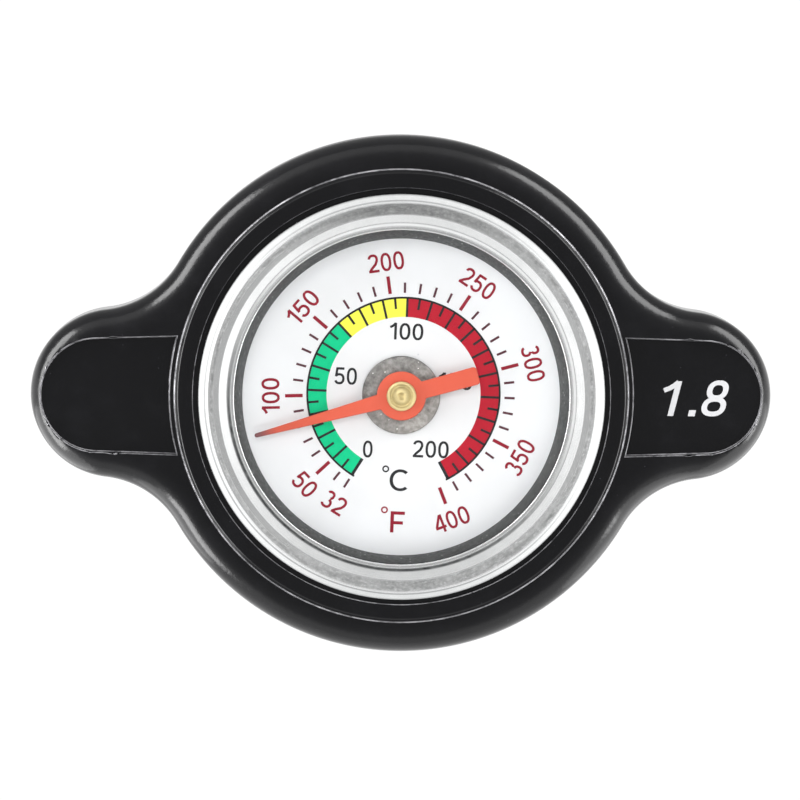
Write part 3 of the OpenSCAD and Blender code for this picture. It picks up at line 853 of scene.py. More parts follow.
def satin_spacer():
    """Dull grey rolled metal of the ring round the dial, with short rolling marks."""
    f = Finish("Satin spacer", Metallic=0.75)
    marks = f.grain(2400.0)
    tone = f.mix(marks, paint(27, 29, 29), paint(72, 74, 73))
    f.feed("Base Color", f.mix(f.specks(2600.0, 0.2, 0.25), tone, paint(146, 148, 146)))
    f.feed("Roughness", f.grain(3800.0, 0.32, 0.55))
    return f.bump(marks, 0.01)


def clear_glass():
    """Clear lens that lets light through to the dial."""
    f = Finish("Clear lens", Transmission_Weight=1.0, IOR=1.35, Base_Color=(1, 1, 1, 1))
    f.feed("Roughness", f.times(f.worn(180.0, 0.3, 0.25), 0.015))
    path = f.add("LightPath").outputs
    spill = f.most(path["Is Shadow Ray"], path["Is Diffuse Ray"])
    through = f.add("BsdfTransparent").outputs[0]
    f.set(f.out, f.add("MixShader", {0: spill, 1: f.shader.outputs[0], 2: through}).outputs[0])
    return f.material


def dial_white(rim):
    """Matt white sheet, with painted shade: darker toward its middle, which the lamps light more than the rim
    that the bezel shades, and a little bluer toward its rim.
    """
    base = chosen("dial")
    f = Finish("Dial white", Specular_IOR_Level=0.3)
    # Painted shade: the middle is darkened against the bezel-shaded rim, and the rim is tinted a little blue
    middle = f.plus(f.ring(-BEYOND, rim, rim * 0.75), f.grain(160.0, 0.0, 0.5))
    tone = f.mix(middle, tint(base, 0.98, 0.99, 1.0), shade(base, 0.84))
    f.feed("Base Color", f.mix(f.specks(700.0, 0.06, 0.05), tone, paint(190, 194, 200)))
    f.feed("Roughness", f.grain(3000.0, 0.42, 0.58))
    return f.bump(f.grain(2200.0), 0.003)


def printed(name, base, uneven):
    """Printing ink, with patches where it is thinner or thicker."""
    f = Finish(name, Specular_IOR_Level=0.12)
    f.feed("Base Color", f.mix(f.worn(1100.0, 0.5, 0.25), base, shade(base, uneven)))
    f.feed("Roughness", f.grain(3600.0, 0.4, 0.6))
    return f.bump(f.grain(3000.0), 0.002)


def pointer_coat(tip):
    """Orange coat of the pointer, with painted shade darkening it toward the tip."""
    base = chosen("pointer")
    f = Finish("Pointer coat", Specular_IOR_Level=0.4)
    tone = f.mix(f.worn(500.0, 0.5, 0.3), base, tint(base, 0.94, 0.86, 0.8))
    # Painted shade darkens the pointer toward its tip
    f.feed("Base Color", f.mix(f.ring(tip - 2.9, BEYOND, 2.1), tone, paint(112, 66, 68)))
    f.feed("Roughness", f.grain(3000.0, 0.38, 0.55))
    return f.bump(f.grain(2200.0), 0.005)


def metal(name, light, dark, rough, turning, scale, metallic=1.0):
    """Bare metal with tarnish in patches, grain, and turning rings where it is turned."""
    f = Finish(name, Metallic=metallic)
    grain = f.grain(scale * 3)
    rings = f.effect("Turning rings", Scale=12000.0, Low=0.0, High=1.0)
    tone = f.mix(f.worn(scale / 3, 0.45, 0.18), light, dark)
    f.feed("Base Color", f.mix(f.times(grain, 0.35), tone, shade(dark, 0.85)))
    f.feed("Roughness", f.grain(scale * 2, rough - 0.07, rough + 0.09))
    return f.bump(f.plus(f.times(rings, turning), f.times(grain, 1 - turning)), 0.004)


def rubber():
    """Black moulded rubber with a faint bloom."""
    f = Finish("Moulded rubber", Specular_IOR_Level=0.35)
    f.feed("Base Color", f.mix(f.worn(500.0, 0.45, 0.2), paint(24, 24, 25), paint(46, 46, 46)))
    f.feed("Roughness", f.grain(2600.0, 0.55, 0.75))
    return f.bump(f.grain(3200.0), 0.01)


def mottled_disc():
    """Grey oxidised disc at the dial's centre, mottled, with painted shade darkening it toward its upper
    left.
    """
    f = Finish("Mottled disc", Metallic=0.35)
    spots = f.grain(2100.0)
    # Painted shade: darker toward the upper left, lighter toward the lower right
    side = f.remap(f.along((-0.6, 0.8, 0)), -3 * MM, 3 * MM)
    tone = f.mix(side, paint(142, 138, 132), paint(86, 85, 83))
    light = f.mix(0.42, tone, f.mix(spots, paint(88, 86, 83), paint(224, 222, 218)))
    dark = f.mix(f.times(f.worn(420.0, 0.5, 0.15), 0.5), light, paint(84, 82, 80))
    f.feed("Base Color", f.mix(f.specks(2800.0, 0.17, 0.2), dark, paint(232, 232, 228)))
    f.feed("Roughness", f.grain(3000.0, 0.45, 0.7))
    return f.bump(spots, 0.014)


FINISHES = {}


class CAP_OT_finishes(bpy.types.Operator):
    """Makes the shader groups and the finishes that the pieces share"""
    bl_idname = "cap.finishes"
    bl_label = "Finishes"

    def execute(self, context):
        for make in (make_grain, make_turning, make_streaks, make_specks, make_wear, make_ring):
            make()
        bezel = high("bezel_ring").x
        view = bore("spacer_ring")
        FINISHES.update({
            "black": black_coat(),
            "bare": bare_edge(bezel + mm("recess_gap")),
            "bezel": polished_rim(bezel - mm("crown_radius"), bore("bezel_ring")),
            "spacer": satin_spacer(),
            "glass": clear_glass(),
            "dial": dial_white(view),
            "pointer": pointer_coat(view),
            "rubber": rubber(),
            "disc": mottled_disc(),
        })
        for key, name, base, uneven in (
                ("green", "Green ink", chosen("green"), 0.9),
                ("yellow", "Yellow ink", chosen("yellow"), 0.92),
                ("red", "Red ink", chosen("red"), 0.86),
                ("maroon", "Maroon ink", chosen("maroon"), 0.8),
                ("dusk", "Dusky ink", paint(92, 52, 62), 0.8),
                ("ink", "Black ink", chosen("ink"), 1.5),
                ("white", "White figures", chosen("figures"), 0.93)):
            FINISHES[key] = printed(name, base, uneven)
        brass = chosen("brass")
        for key, *values in (
                ("brass", "Turned brass", brass, shade(brass, 0.72), 0.28, 0.8, 900.0),
                ("hub", "Pale brass", shade(brass, 0.84), shade(brass, 0.6), 0.42, 0.6, 700.0, 0.55),
                ("steel", "Plated steel", paint(196, 197, 194), paint(158, 160, 158), 0.3, 0.1, 700.0),
                ("valve", "Yellow plated steel", paint(206, 190, 140), paint(170, 152, 104), 0.32, 0.5,
                 600.0),
                ("spring", "Spring wire", paint(170, 172, 174), paint(120, 122, 126), 0.28, 0.0, 900.0),
                ("probe", "Nickel tube", paint(206, 203, 194), paint(170, 166, 156), 0.24, 0.0, 500.0),
                ("case", "Drawn case", paint(184, 186, 186), paint(146, 148, 150), 0.35, 0.5, 600.0),
                ("bimetal", "Bimetal strip", paint(190, 148, 110), paint(140, 104, 78), 0.34, 0.0, 900.0)):
            FINISHES[key] = metal(*values)
        return {"FINISHED"}


# The pieces

def winged_outline(body, tip):
    """Outline of the cover from above: a round body with two round wings and hollows beside them."""
    wing, hollow = mm("wing_radius"), mm("hollow_radius")
    wing_x = tip - wing
    web_x = ((body + hollow) ** 2 - (wing + hollow) ** 2 + wing_x ** 2) / (2 * wing_x)
    web_y = math.sqrt((body + hollow) ** 2 - web_x ** 2)
    lean = math.degrees(math.atan2(web_y, web_x))
    open_to = math.degrees(math.atan2(web_y, web_x - wing_x))
    wing_steps, hollow_steps, body_steps = 60, 22, 84
    half = arc((wing_x, 0), wing, -open_to, open_to, wing_steps)
    half += arc((web_x, web_y), hollow, open_to + 180, lean + 180, hollow_steps)[1:]
    half += arc((0, 0), body, lean, 180 - lean, body_steps)[1:]
    half += arc((-web_x, web_y), hollow, 360 - lean, 360 - open_to, hollow_steps)[1:-1]
    return half + [(-x, -y) for x, y in half]


class CAP_OT_cover(bpy.types.Operator):
    """Models the black winged cover with its collar, recess, skirt and sunk flats"""
    bl_idname = "cap.cover"
    bl_label = "Cover"

    def execute(self, context):
        tip, body, collar_top = high("handle_cover")
        skirt_low = low("handle_cover").z
        shoulder = collar_top - mm("collar_height")
        underside = shoulder - mm("slab_depth")
        recess = high("bezel_ring").x + mm("recess_gap")
        collar = recess + mm("collar_width")
        floor, roof = low("case_gasket").z, high("bayonet_shell").z
        shell_gap, skirt_wall, chamfer, slope, near = 0.03, 1.6, 0.4, 0.3, 0.01
        shell = high("bayonet_shell").y + shell_gap
        skirt = shell + skirt_wall

        cover = slab("cover", winged_outline(body, tip), underside, shoulder)
        pick(cover, "EDGE", lambda p: p.z > shoulder - near)
        bevel(cover, mm("rim_rounding"), 12, clamp=False)
        pick(cover, "EDGE", lambda p: p.z < underside + near)
        bevel(cover, mm("foot_rounding"), 6, clamp=False)
        combine(cover, lathe("collar", [(0, shoulder - OVERLAP), (collar + slope, shoulder - OVERLAP),
                                        (collar + slope, shoulder), (collar, collar_top),
                                        (0, collar_top)]), "UNION")
        combine(cover, lathe("skirt", [(0, skirt_low), (skirt - chamfer, skirt_low),
                                       (skirt, skirt_low + chamfer), (skirt, underside + OVERLAP),
                                       (0, underside + OVERLAP)]), "UNION")
        self.hollow_out(cover, recess, floor, collar_top)
        combine(cover, plug("cavity", shell, skirt_low - OVERLAP, roof), "DIFFERENCE")
        hole = plug("bore", bore("handle_cover"), roof - OVERLAP, floor + OVERLAP, 64)
        combine(cover, hole, "DIFFERENCE")
        self.sink_flats(cover, tip, collar, shoulder)

        coat(cover, "black", "bare")
        self.wear_edges(cover, recess, collar, collar_top, shoulder)
        smooth(cover, 34, weighted=True)
        settle(cover, "cap", "black_cover", "handle_cover")
        return {"FINISHED"}

    def hollow_out(self, cover, recess, floor, collar_top):
        """Cuts the gauge recess, with a ledge that closes the gap round the bezel."""
        ledge_gap, ledge_drop, ledge_thick = 0.04, 0.28, 0.5
        seat, ledge = high("bezel_ring").x + ledge_gap, collar_top - ledge_drop
        tool = lathe("recess", [(0, floor), (recess, floor), (recess, ledge - ledge_thick),
                                (seat, ledge - ledge_thick), (seat, ledge), (recess, ledge),
                                (recess, collar_top + OVERLAP), (0, collar_top + OVERLAP)])
        combine(cover, tool, "DIFFERENCE")

    def sink_flats(self, cover, tip, collar, shoulder):
        """Sinks a flat with a round end into each wing."""
        end_radius, half_width, end_gap, collar_gap = 4.85, 5.05, 0.92, 0.75
        start = collar + collar_gap
        half = math.degrees(math.asin(half_width / start))
        outline = arc((tip - end_gap - end_radius, 0), end_radius, -90, 90, 48)
        outline += arc((0, 0), start, half, -half, 40)
        for side in (0, 180):
            flat = slab("flat", outline, shoulder - mm("flat_depth"), shoulder + OVERLAP)
            combine(cover, place(flat, side), "DIFFERENCE")

    def wear_edges(self, cover, recess, collar, collar_top, shoulder):
        """Breaks the upper edges, bare on the flats and the collar's foot, coated elsewhere; the recess's
        edge is bare too, as a painted highlight.

        Points that the cuts left close together are merged first, so that the bevels don't overlap there.
        """
        near, closest, angle = 0.05, 0.09, 34
        flat_z = shoulder - mm("flat_depth")

        def worn(p):
            foot = flat_z + 2 * near < p.z < collar_top - 2 * near and p.xy.length > collar
            # The recess's edge takes the bare finish as a painted highlight
            return foot or p.z > collar_top - near and p.xy.length < recess + near

        def coated(p):
            return p.z > collar_top - near and p.xy.length > collar - near

        edit(weld(cover, outward=False))
        bpy.ops.mesh.remove_doubles(threshold=closest * MM)
        done(cover)
        for material, test in ((1, worn), (0, coated)):
            break_edges(cover, mm("bare_edge"), angle, 2, material, test, clamp=False)


class CAP_OT_shell(bpy.types.Operator):
    """Models the pressed bayonet shell with its cam lugs, and the stem with its nut, washer and clip"""
    bl_idname = "cap.shell"
    bl_label = "Bayonet shell and stem"

    def execute(self, context):
        settle_copies(
            ("bayonet_shell", "shell", "cap", "steel_sheet", "steel", 0.12, 3),
            ("stem_nut", "nut", "cap", "brass", "brass", 0.12, 2),
            ("stem_washer", "washer", "cap", "steel_sheet", "steel", 0.08, 2),
            ("snap_ring", "clip", "cap", "spring_steel", "spring", 0.06, 2),
            ("stem", "hollow_stem", "cap", "brass", "brass", 0.08, 2))
        return {"FINISHED"}


class CAP_OT_bezel(bpy.types.Operator):
    """Models the crowned bezel with its inner lip, and the spacer ring inside it"""
    bl_idname = "cap.bezel"
    bl_label = "Bezel and spacer"

    def execute(self, context):
        settle(coat(self.bezel(), "bezel"), "cap", "bezel_chrome", "bezel_ring")
        settle(coat(self.spacer(), "spacer"), "cap", "spacer_metal", "spacer_ring")
        return {"FINISHED"}

    def bezel(self):
        """The bezel: a lip over the lens, a groove, a crown and a skirt down to its foot."""
        glass = high("lens").z
        out, foot = high("bezel_ring").x, low("bezel_ring").z
        lip, lip_width, lip_height = bore("bezel_ring"), 0.35, 0.35
        groove, web_height, sink, crown_half = 0.27, 0.15, 0.6, 0.42
        gap, case_wall, case_seat, foot_chamfer = 0.06, 0.75, 0.43, 0.15
        crown_drop, skirt_drop = 0.06, 0.02
        crown = mm("crown_radius")
        middle = out - crown
        peak = glass - sink + crown
        web, groove_end = glass + web_height, lip + lip_width + groove
        case, inside = high("gauge_case").x - case_wall + gap, high("lens").x + gap
        seat = high("gauge_case").z - case_seat
        steps = 5
        upper = rounded((lip, glass, 0.04), (lip, glass + lip_height, 0.14),
                        (lip + lip_width, glass + lip_height, 0.14), (lip + lip_width, web, 0.06),
                        (groove_end, web, 0.12), (middle - crown_half, peak - crown_drop, 0.25),
                        (middle + crown_half, peak - crown_drop, 0.25), (out, glass - skirt_drop, 0.12),
                        (out, foot, 0.1), steps=steps)[:-steps - 1]
        outline = [(r, min(z, peak)) for r, z in upper]
        outline += [(out, foot + foot_chamfer), (out - foot_chamfer, foot), (case, foot), (case, seat),
                    (inside, seat), (inside, glass), outline[0]]
        return lathe("bezel", outline)

    def spacer(self):
        """The ring round the dial, its sloped bore a little off the axis."""
        view, under = bore("spacer_ring"), low("spacer_ring").z
        wide, top = high("spacer_ring").x, high("spacer_ring").z
        slope, bore_shift, near = 0.7, -0.2, 0.1
        ring = lathe("spacer", rounded((view, under, 0.03), (wide, under, 0.05), (wide, top, 0.05),
                                       (view + slope, top, 0.08)))
        pick(ring, "VERT", lambda p: p.xy.length < view + near)
        bpy.ops.transform.translate(value=(0, bore_shift * MM, 0))
        return done(ring)


class CAP_OT_lens(bpy.types.Operator):
    """Models the clear lens and its black gasket"""
    bl_idname = "cap.lens"
    bl_label = "Lens"

    def execute(self, context):
        r, under, top = high("lens").x, low("lens").z, high("lens").z
        chamfer = 0.1
        lens = lathe("clear_lens", [(0, under), (r - chamfer, under), (r, under + chamfer),
                                    (r, top - chamfer), (r - chamfer, top), (0, top)])
        settle(coat(lens, "glass"), "cap", "lens_glass", "lens")
        settle_copies(("lens_gasket", "lens_seal", "cap", "rubber", "rubber", 0.06, 2))
        return {"FINISHED"}


class CAP_OT_dial(bpy.types.Operator):
    """Models the white dial sheet and the mottled disc at its centre"""
    bl_idname = "cap.dial"
    bl_label = "Dial"

    def execute(self, context):
        hole, r = bore("dial_plate"), high("dial_plate").x
        under, top = low("dial_plate").z, high("dial_plate").z
        dial = lathe("dial", rounded((hole, under, 0.04), (r, under, 0.05), (r, top, 0.05),
                                     (hole, top, 0.04)))
        settle(coat(dial, "dial"), "cap", "dial_white", "dial_plate")
        r, under, top = high("centre_disc").x, low("centre_disc").z, high("centre_disc").z
        rim = 0.35
        disc = lathe("disc", rounded((hole, under, 0), (r, under, 0), (r, top, 0.12), (r - rim, top, 0),
                                     (hole, top, 0.04)), 128)
        settle(coat(disc, "disc"), "cap", "disc_grey", "centre_disc")
        return {"FINISHED"}


PRINT_AT = Vector((0.2, 0.1))
ZERO_AT = 237.9
DEGREES_PER_CELSIUS = 1.5


def celsius(t):
    """Angle of a temperature on the inner scale, in degrees."""
    return ZERO_AT - DEGREES_PER_CELSIUS * t


def fahrenheit(t):
    """Angle of a temperature on the outer scale, in degrees."""
    return celsius((t - 32) / 1.8)


def on_print(x, y):
    """A point of the dial, from its place on the printing; height is the dial's face."""
    return (PRINT_AT.x + x, PRINT_AT.y + y, high("dial_plate").z)


def sector(name, r_in, r_out, first, last, height):
    """A flat ring sector of the printing."""
    steps = max(1, round(abs(last - first) / 2.5))
    outline = arc(PRINT_AT, r_out, first, last, steps) + arc(PRINT_AT, r_in, last, first, steps)
    z = high("dial_plate").z
    return slab(name, outline, z, z + height)


def ticks(name, height, rows):
    """One piece of ticks along radii, from rows of (inner radius, outer radius, width, angle)."""
    z = high("dial_plate").z
    made = []
    for r_in, r_out, width, angle in rows:
        half = width / 2
        obj = slab("tick", [(r_in, -half), (r_out, -half), (r_out, half), (r_in, half)], z, z + height)
        made.append(place(obj, angle, (*PRINT_AT, 0)))
    return join(name, made)


class CAP_OT_scale(bpy.types.Operator):
    """Prints the coloured band and the ticks of both scales on the dial"""
    bl_idname = "cap.scale"
    bl_label = "Printed scale"

    def execute(self, context):
        up = mm("print_height")
        over = 1.6 * up
        r_in, r_out = mm("band_inner"), mm("band_outer")
        short, line, end_line, border_in, border_out = 0.95, 0.2, 0.26, 0.09, 0.08
        long_tick, short_tick = (8.64, 10.15, 0.29), (8.66, 9.54, 0.2)
        inner = [(r_out - short if t % 10 else r_in, r_out, end_line if t in (0, 200) else line, celsius(t))
                 for t in range(0, 201, 5)]
        outer_long = [(*long_tick, fahrenheit(t)) for t in range(50, 401, 50)]
        outer_short = [(*short_tick, fahrenheit(t)) for t in [32, *range(40, 400, 10)] if t % 50]
        border = (r_out - border_in, r_out + border_out, celsius(-1), celsius(201))
        for piece, ink in (
                (sector("band_low", r_in, r_out, celsius(0), celsius(70), up), "green"),
                (sector("band_running", r_in, r_out, celsius(70), celsius(100), up), "yellow"),
                (sector("band_high", r_in, r_out, celsius(100), celsius(200), up), "red"),
                (sector("band_border", *border, over), "ink"),
                (ticks("inner_ticks", over, inner), "ink"),
                (ticks("outer_long_ticks", up, outer_long), "maroon"),
                (ticks("outer_short_ticks", up, outer_short), "dusk")):
            settle(coat(piece, ink), "cap", "dial_white")
        return {"FINISHED"}


class CAP_OT_figures(bpy.types.Operator):
    """Prints the figures of both scales and their unit signs on the dial"""
    bl_idname = "cap.figures"
    bl_label = "Printed figures"

    SHIFTS = {32: (-0.3, 0), 50: (0.1, 0), 300: (0, -1.1), 350: (0, -1.4), 400: (0.2, 0)}
    UPSIDE_IN = (32, 50, 350, 400)
    WIDTHS = {2: 2.05, 3: 3.08}
    OUTER_HEIGHT, INNER_HEIGHT = 1.58, 1.47
    LEAN = -2

    def execute(self, context):
        outer = [self.outer_figure(t) for t in (32, 50, 100, 150, 200, 250, 300, 350, 400)]
        outer += self.sign("F", 1.22, 1.83, (-0.46, -11.05), (-1.58, -10.0), 0.15)
        settle(coat(join("outer_figures", outer), "maroon"), "cap", "dial_white")
        inner = [figure(text, width, self.INNER_HEIGHT, on_print(x, y), self.LEAN)
                 for text, width, x, y in (("0", 0.82, -3.04, -4.77), ("50", 1.92, -4.96, 1.5),
                                           ("100", 2.9, 0.22, 5.36), ("150", 2.92, 4.43, 1.1),
                                           ("200", 3.07, 2.37, -4.77))]
        inner += self.sign("C", 1.55, 1.88, (-0.38, -7.44), (-1.49, -6.47), 0.13)
        settle(coat(join("inner_figures", inner), "ink"), "cap", "dial_white")
        return {"FINISHED"}

    def outer_figure(self, t):
        """A figure of the outer scale, along its radius."""
        out, on = self.SHIFTS.get(t, (0, 0))
        angle = fahrenheit(t) + on
        turn = angle + 90 if t in self.UPSIDE_IN else angle - 90
        at = on_print(*on_circle((0, 0), mm("figure_radius") + out, angle))
        return figure(str(t), self.WIDTHS[len(str(t))], self.OUTER_HEIGHT, at, turn)

    def sign(self, letter, width, height, at, ring_at, weight):
        """A letter and a degree ring."""
        r_in, r_out, thick = 0.17, 0.3, mm("print_height")
        ring = lathe("degree", [(r_in, 0), (r_out, 0), (r_out, thick), (r_in, thick), (r_in, 0)], 32)
        place(ring, 0, on_print(*ring_at))
        return [figure(letter, width, height, on_print(*at), self.LEAN, 0, weight), ring]


class CAP_OT_pointer(bpy.types.Operator):
    """Models the orange pointer and its turned brass hub"""
    bl_idname = "cap.pointer"
    bl_label = "Pointer"

    def execute(self, context):
        pointer, hub = self.pointer(), self.hub()
        settle(coat(pointer, "pointer"), "pointer_assembly", "pointer_orange", "pointer")
        settle(coat(hub, "hub"), "pointer_assembly", "brass", "pointer_hub")
        return {"FINISHED"}

    def pointer(self):
        """The pointer: a long taper to the tip, an eye round the hub and a square tail."""
        under, top = low("pointer").z, high("pointer").z
        eye, root, tip, tail, half_tail, corner = 2.1, 0.62, 0.18, 6.8, 0.78, 0.3
        rest_angle, edge, sharper = 195.5, 0.09, 50
        lean = math.degrees(math.asin(root * 1.05 / eye))
        tail_lean = lean * 1.15
        outline = arc((reach("pointer") - tip, 0), tip, -90, 90, 8)
        outline += arc((0, 0), eye, lean, 180 - tail_lean, 28)
        outline += arc((corner - tail, half_tail - corner), corner, 90, 180, 5)
        outline += arc((corner - tail, corner - half_tail), corner, 180, 270, 5)
        outline += arc((0, 0), eye, 180 + tail_lean, 360 - lean, 28)
        pointer = slab("orange_pointer", outline, under, top)
        combine(pointer, plug("hole", bore("pointer"), under - OVERLAP, top + OVERLAP, 48),
                "DIFFERENCE")
        break_edges(pointer, edge, sharper, 3)
        return smooth(place(pointer, rest_angle), 40, weighted=True)

    def hub(self):
        """The hub: a waist in the pointer's eye, and a head with a ring groove and a dimple."""
        r, z = high("pointer_hub").x, high("pointer_hub").z
        base, under, mid = low("pointer_hub").z, low("pointer").z, high("pointer").z
        gap = 0.03
        waist, spindle = bore("pointer") - gap, high("spindle").x + gap
        outline = [(spindle, base), (r, base), (r, under), (waist, under), (waist, mid), (r - 0.06, mid),
                   (r, mid + 0.06), (r, z - 0.1), (r - 0.03, z - 0.03), (r - 0.1, z), (r - 0.22, z),
                   (r - 0.28, z - 0.04), (r - 0.36, z - 0.2), (r - 0.46, z - 0.22), (r - 0.56, z - 0.16),
                   (0.5, z - 0.05), (0.36, z - 0.04), (0.28, z - 0.09), (0.2, z - 0.2), (0.1, z - 0.26),
                   (0, z - 0.27), (0, mid), (spindle, mid), (spindle, base)]
        return lathe("hub", outline, 96)


class CAP_OT_wing_figures(bpy.types.Operator):
    """Prints the plain white number on the right wing's flat"""
    bl_idname = "cap.wing_figures"
    bl_label = "Wing figures"

    def execute(self, context):
        z = high("handle_cover").z - mm("collar_height") - mm("flat_depth")
        turn, slant, weight, thick = -0.3, 0.2, 0.137, 0.02
        signs = [figure(text, width, height, (x, y, z), turn, slant, weight, thick)
                 for text, width, height, x, y in (("1", 1.62, 3.06, 23.2, -0.1),
                                                   (".", 0.7, 0.52, 24.88, -1.38),
                                                   ("8", 2.32, 3.1, 26.85, -0.1))]
        settle(coat(join("wing_number", signs), "white"), "cap", "dial_white")
        return {"FINISHED"}


class CAP_OT_seals(bpy.types.Operator):
    """Models the upper gasket, its diaphragm spring and the lower valve seal"""
    bl_idname = "cap.seals"
    bl_label = "Seals"

    def execute(self, context):
        settle_copies(
            ("upper_gasket", "neck_gasket", "valve_carrier", "rubber", "rubber", 0.12, 3),
            ("diaphragm_spring", "diaphragm", "valve_carrier", "spring_steel", "steel", 0.05, 2, 60),
            ("valve_seal", "lower_seal", "pressure_valve", "rubber", "rubber", 0.12, 3))
        return {"FINISHED"}


class CAP_OT_valves(bpy.types.Operator):
    """Models the guide sleeve, the pressure valve and the vacuum valve"""
    bl_idname = "cap.valves"
    bl_label = "Valves"

    def execute(self, context):
        settle_copies(
            ("guide_sleeve", "sleeve", "valve_carrier", "valve_steel", "valve", 0.1, 3),
            ("valve_plate", "pressure_plate", "pressure_valve", "valve_steel", "valve", 0.1, 3),
            ("vacuum_valve", "vacuum_poppet", "vacuum_valve_assembly", "brass", "brass", 0.1, 3),
            ("vacuum_collar", "vacuum_stop", "vacuum_valve_assembly", "brass", "brass", 0.1, 3))
        return {"FINISHED"}


class CAP_OT_springs(bpy.types.Operator):
    """Winds the pressure spring, the vacuum spring and the bimetal coil"""
    bl_idname = "cap.springs"
    bl_label = "Springs"

    def execute(self, context):
        s = sizes()
        for node, name, turns, wire, body, slot, kind in (
                ("pressure_spring", "main_spring", s.spring_turns, mm("spring_wire"),
                 "valve_carrier", "spring_steel", "spring"),
                ("vacuum_spring", "light_spring", s.vacuum_turns, mm("vacuum_wire"),
                 "pressure_valve", "spring_steel", "spring"),
                ("bimetal_coil", "coil", s.coil_turns, mm("coil_wire"),
                 "pointer_assembly", "bimetal", "bimetal")):
            z_low, z_high = low(node).z + wire / 2, high(node).z - wire / 2
            obj = wound(name, (bore(node) + reach(node)) / 2, turns, wire, z_low, z_high)
            settle(coat(obj, kind), body, slot, node)
        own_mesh(bpy.data.objects["main_spring"])
        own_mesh(bpy.data.objects["light_spring"])
        return {"FINISHED"}


class CAP_OT_probe(bpy.types.Operator):
    """Models the closed probe tube with its round tip"""
    bl_idname = "cap.probe"
    bl_label = "Probe"

    def execute(self, context):
        r, tip, top = high("probe_tube").x, low("probe_tube").z, high("probe_tube").z
        wall, chamfer = 0.4, 0.08
        inner, deep = r - wall, tip + r + wall
        outline = arc((0, tip + r), r, -90, 0, 24)
        outline += [(r, top - chamfer), (r - chamfer, top), (inner + chamfer, top), (inner, top - chamfer),
                    (inner, deep), (0, deep)]
        settle(coat(lathe("probe", outline, 96), "probe"), "cap", "probe_metal", "probe_tube")
        return {"FINISHED"}


class CAP_OT_inner_parts(bpy.types.Operator):
    """Gives the parts inside the gauge, which keep their CAD shape, their finishes"""
    bl_idname = "cap.inner_parts"
    bl_label = "Inner parts"

    def execute(self, context):
        for node, kind in (("gauge_case", "case"), ("case_gasket", "rubber"), ("spindle_bush", "brass"),
                           ("coil_anchor", "brass"), ("coil_carrier", "brass"), ("spindle", "steel")):
            obj = frame["nodes"][node]
            obj.data.materials.clear()
            coat(obj, kind)
        return {"FINISHED"}


# The stage

def pale_floor():
    """A pale floor that shows white, is dimmer behind the cap in reflections and see-through from below."""
    floor_size, gap = 6, 0.1
    clear()
    bpy.ops.mesh.primitive_plane_add(size=floor_size, location=(0, 0, (low("probe_tube").z - gap) * MM))
    floor = bpy.context.object
    floor.name = "floor"
    f = Finish("Pale floor", Base_Color=(0.9, 0.9, 0.9, 1), Roughness=0.8)
    path = f.add("LightPath").outputs
    dim = f.remap(f.parts(f.spot())["Y"], 10 * MM, 30 * MM, 0.0, -0.7)
    glow = f.math("MULTIPLY_ADD", path["Is Glossy Ray"], dim, 1.0)
    white = f.add("Emission", {"Color": (1, 1, 1, 1), "Strength": glow})
    seen = f.most(f.most(path["Is Camera Ray"], path["Is Glossy Ray"]), path["Is Transmission Ray"])
    upper = f.add("MixShader", {0: f.times(seen, 0.94), 1: f.shader.outputs[0], 2: white.outputs[0]})
    below = f.add("NewGeometry").outputs["Backfacing"]
    through = f.add("BsdfTransparent").outputs[0]
    f.set(f.out, f.add("MixShader", {0: below, 1: upper.outputs[0], 2: through}).outputs[0])
    floor.data.materials.append(f.material)
    return floor


def dome(world, height, stops):
    """A ramp of grey levels over the sine of the elevation."""
    ramp = world.add("ValToRGB", {0: height})
    elements = ramp.color_ramp.elements
    while len(elements) < len(stops):
        elements.new(0.5)
    for stop, (position, level) in zip(elements, stops):
        stop.position, stop.color = position, (level, level, level, 1)
    return ramp.outputs[0]


def studio_sky():
    """A world that shows white and lights like a studio, brighter low down at the two sides."""
    sky = bpy.data.worlds.new("Studio")
    sky.use_nodes = True
    sky.node_tree.nodes.clear()
    w = Nodes(sky.node_tree)
    parts = w.parts(w.add("TexCoord").outputs["Generated"])
    ends = dome(w, parts["Z"], ((0.0, 0.8), (0.3, 0.9), (0.42, 0.8), (0.6, 0.42), (1.0, 0.24)))
    sides = dome(w, parts["Z"], ((0.0, 1.5), (0.42, 1.5), (0.52, 0.8), (0.68, 0.3), (1.0, 0.24)))
    beside = w.times(parts["X"], parts["X"])
    level = w.add("Mix", {0: beside, 6: ends, 7: sides}, data_type="RGBA").outputs[2]
    light = w.add("Background", {"Color": level, "Strength": 1.0}).outputs[0]
    shown = w.add("Background", {"Color": (1, 1, 1, 1), "Strength": 1.0}).outputs[0]
    seen = w.add("LightPath").outputs["Is Camera Ray"]
    mixed = w.add("MixShader", {0: seen, 1: light, 2: shown})
    w.set(w.add("OutputWorld").inputs[0], mixed.outputs[0])
    return sky


def softbox(name, energy, size, azimuth, elevation, distance=0.6, about=(0, 0, 0), shape="RECTANGLE"):
    """A soft lamp that faces a point, which is the cap's middle if none is given."""
    clear()
    bpy.ops.object.light_add(type="AREA")
    lamp = bpy.context.object
    lamp.name = name
    lamp.data.energy = energy
    lamp.data.shape = shape
    lamp.data.size, lamp.data.size_y = size
    a, e = math.radians(azimuth), math.radians(elevation)
    away = Vector((math.cos(a) * math.cos(e), math.sin(a) * math.cos(e), math.sin(e)))
    lamp.location = Vector(about) + away * distance
    lamp.rotation_euler = away.to_track_quat("Z", "Y").to_euler()
    return lamp


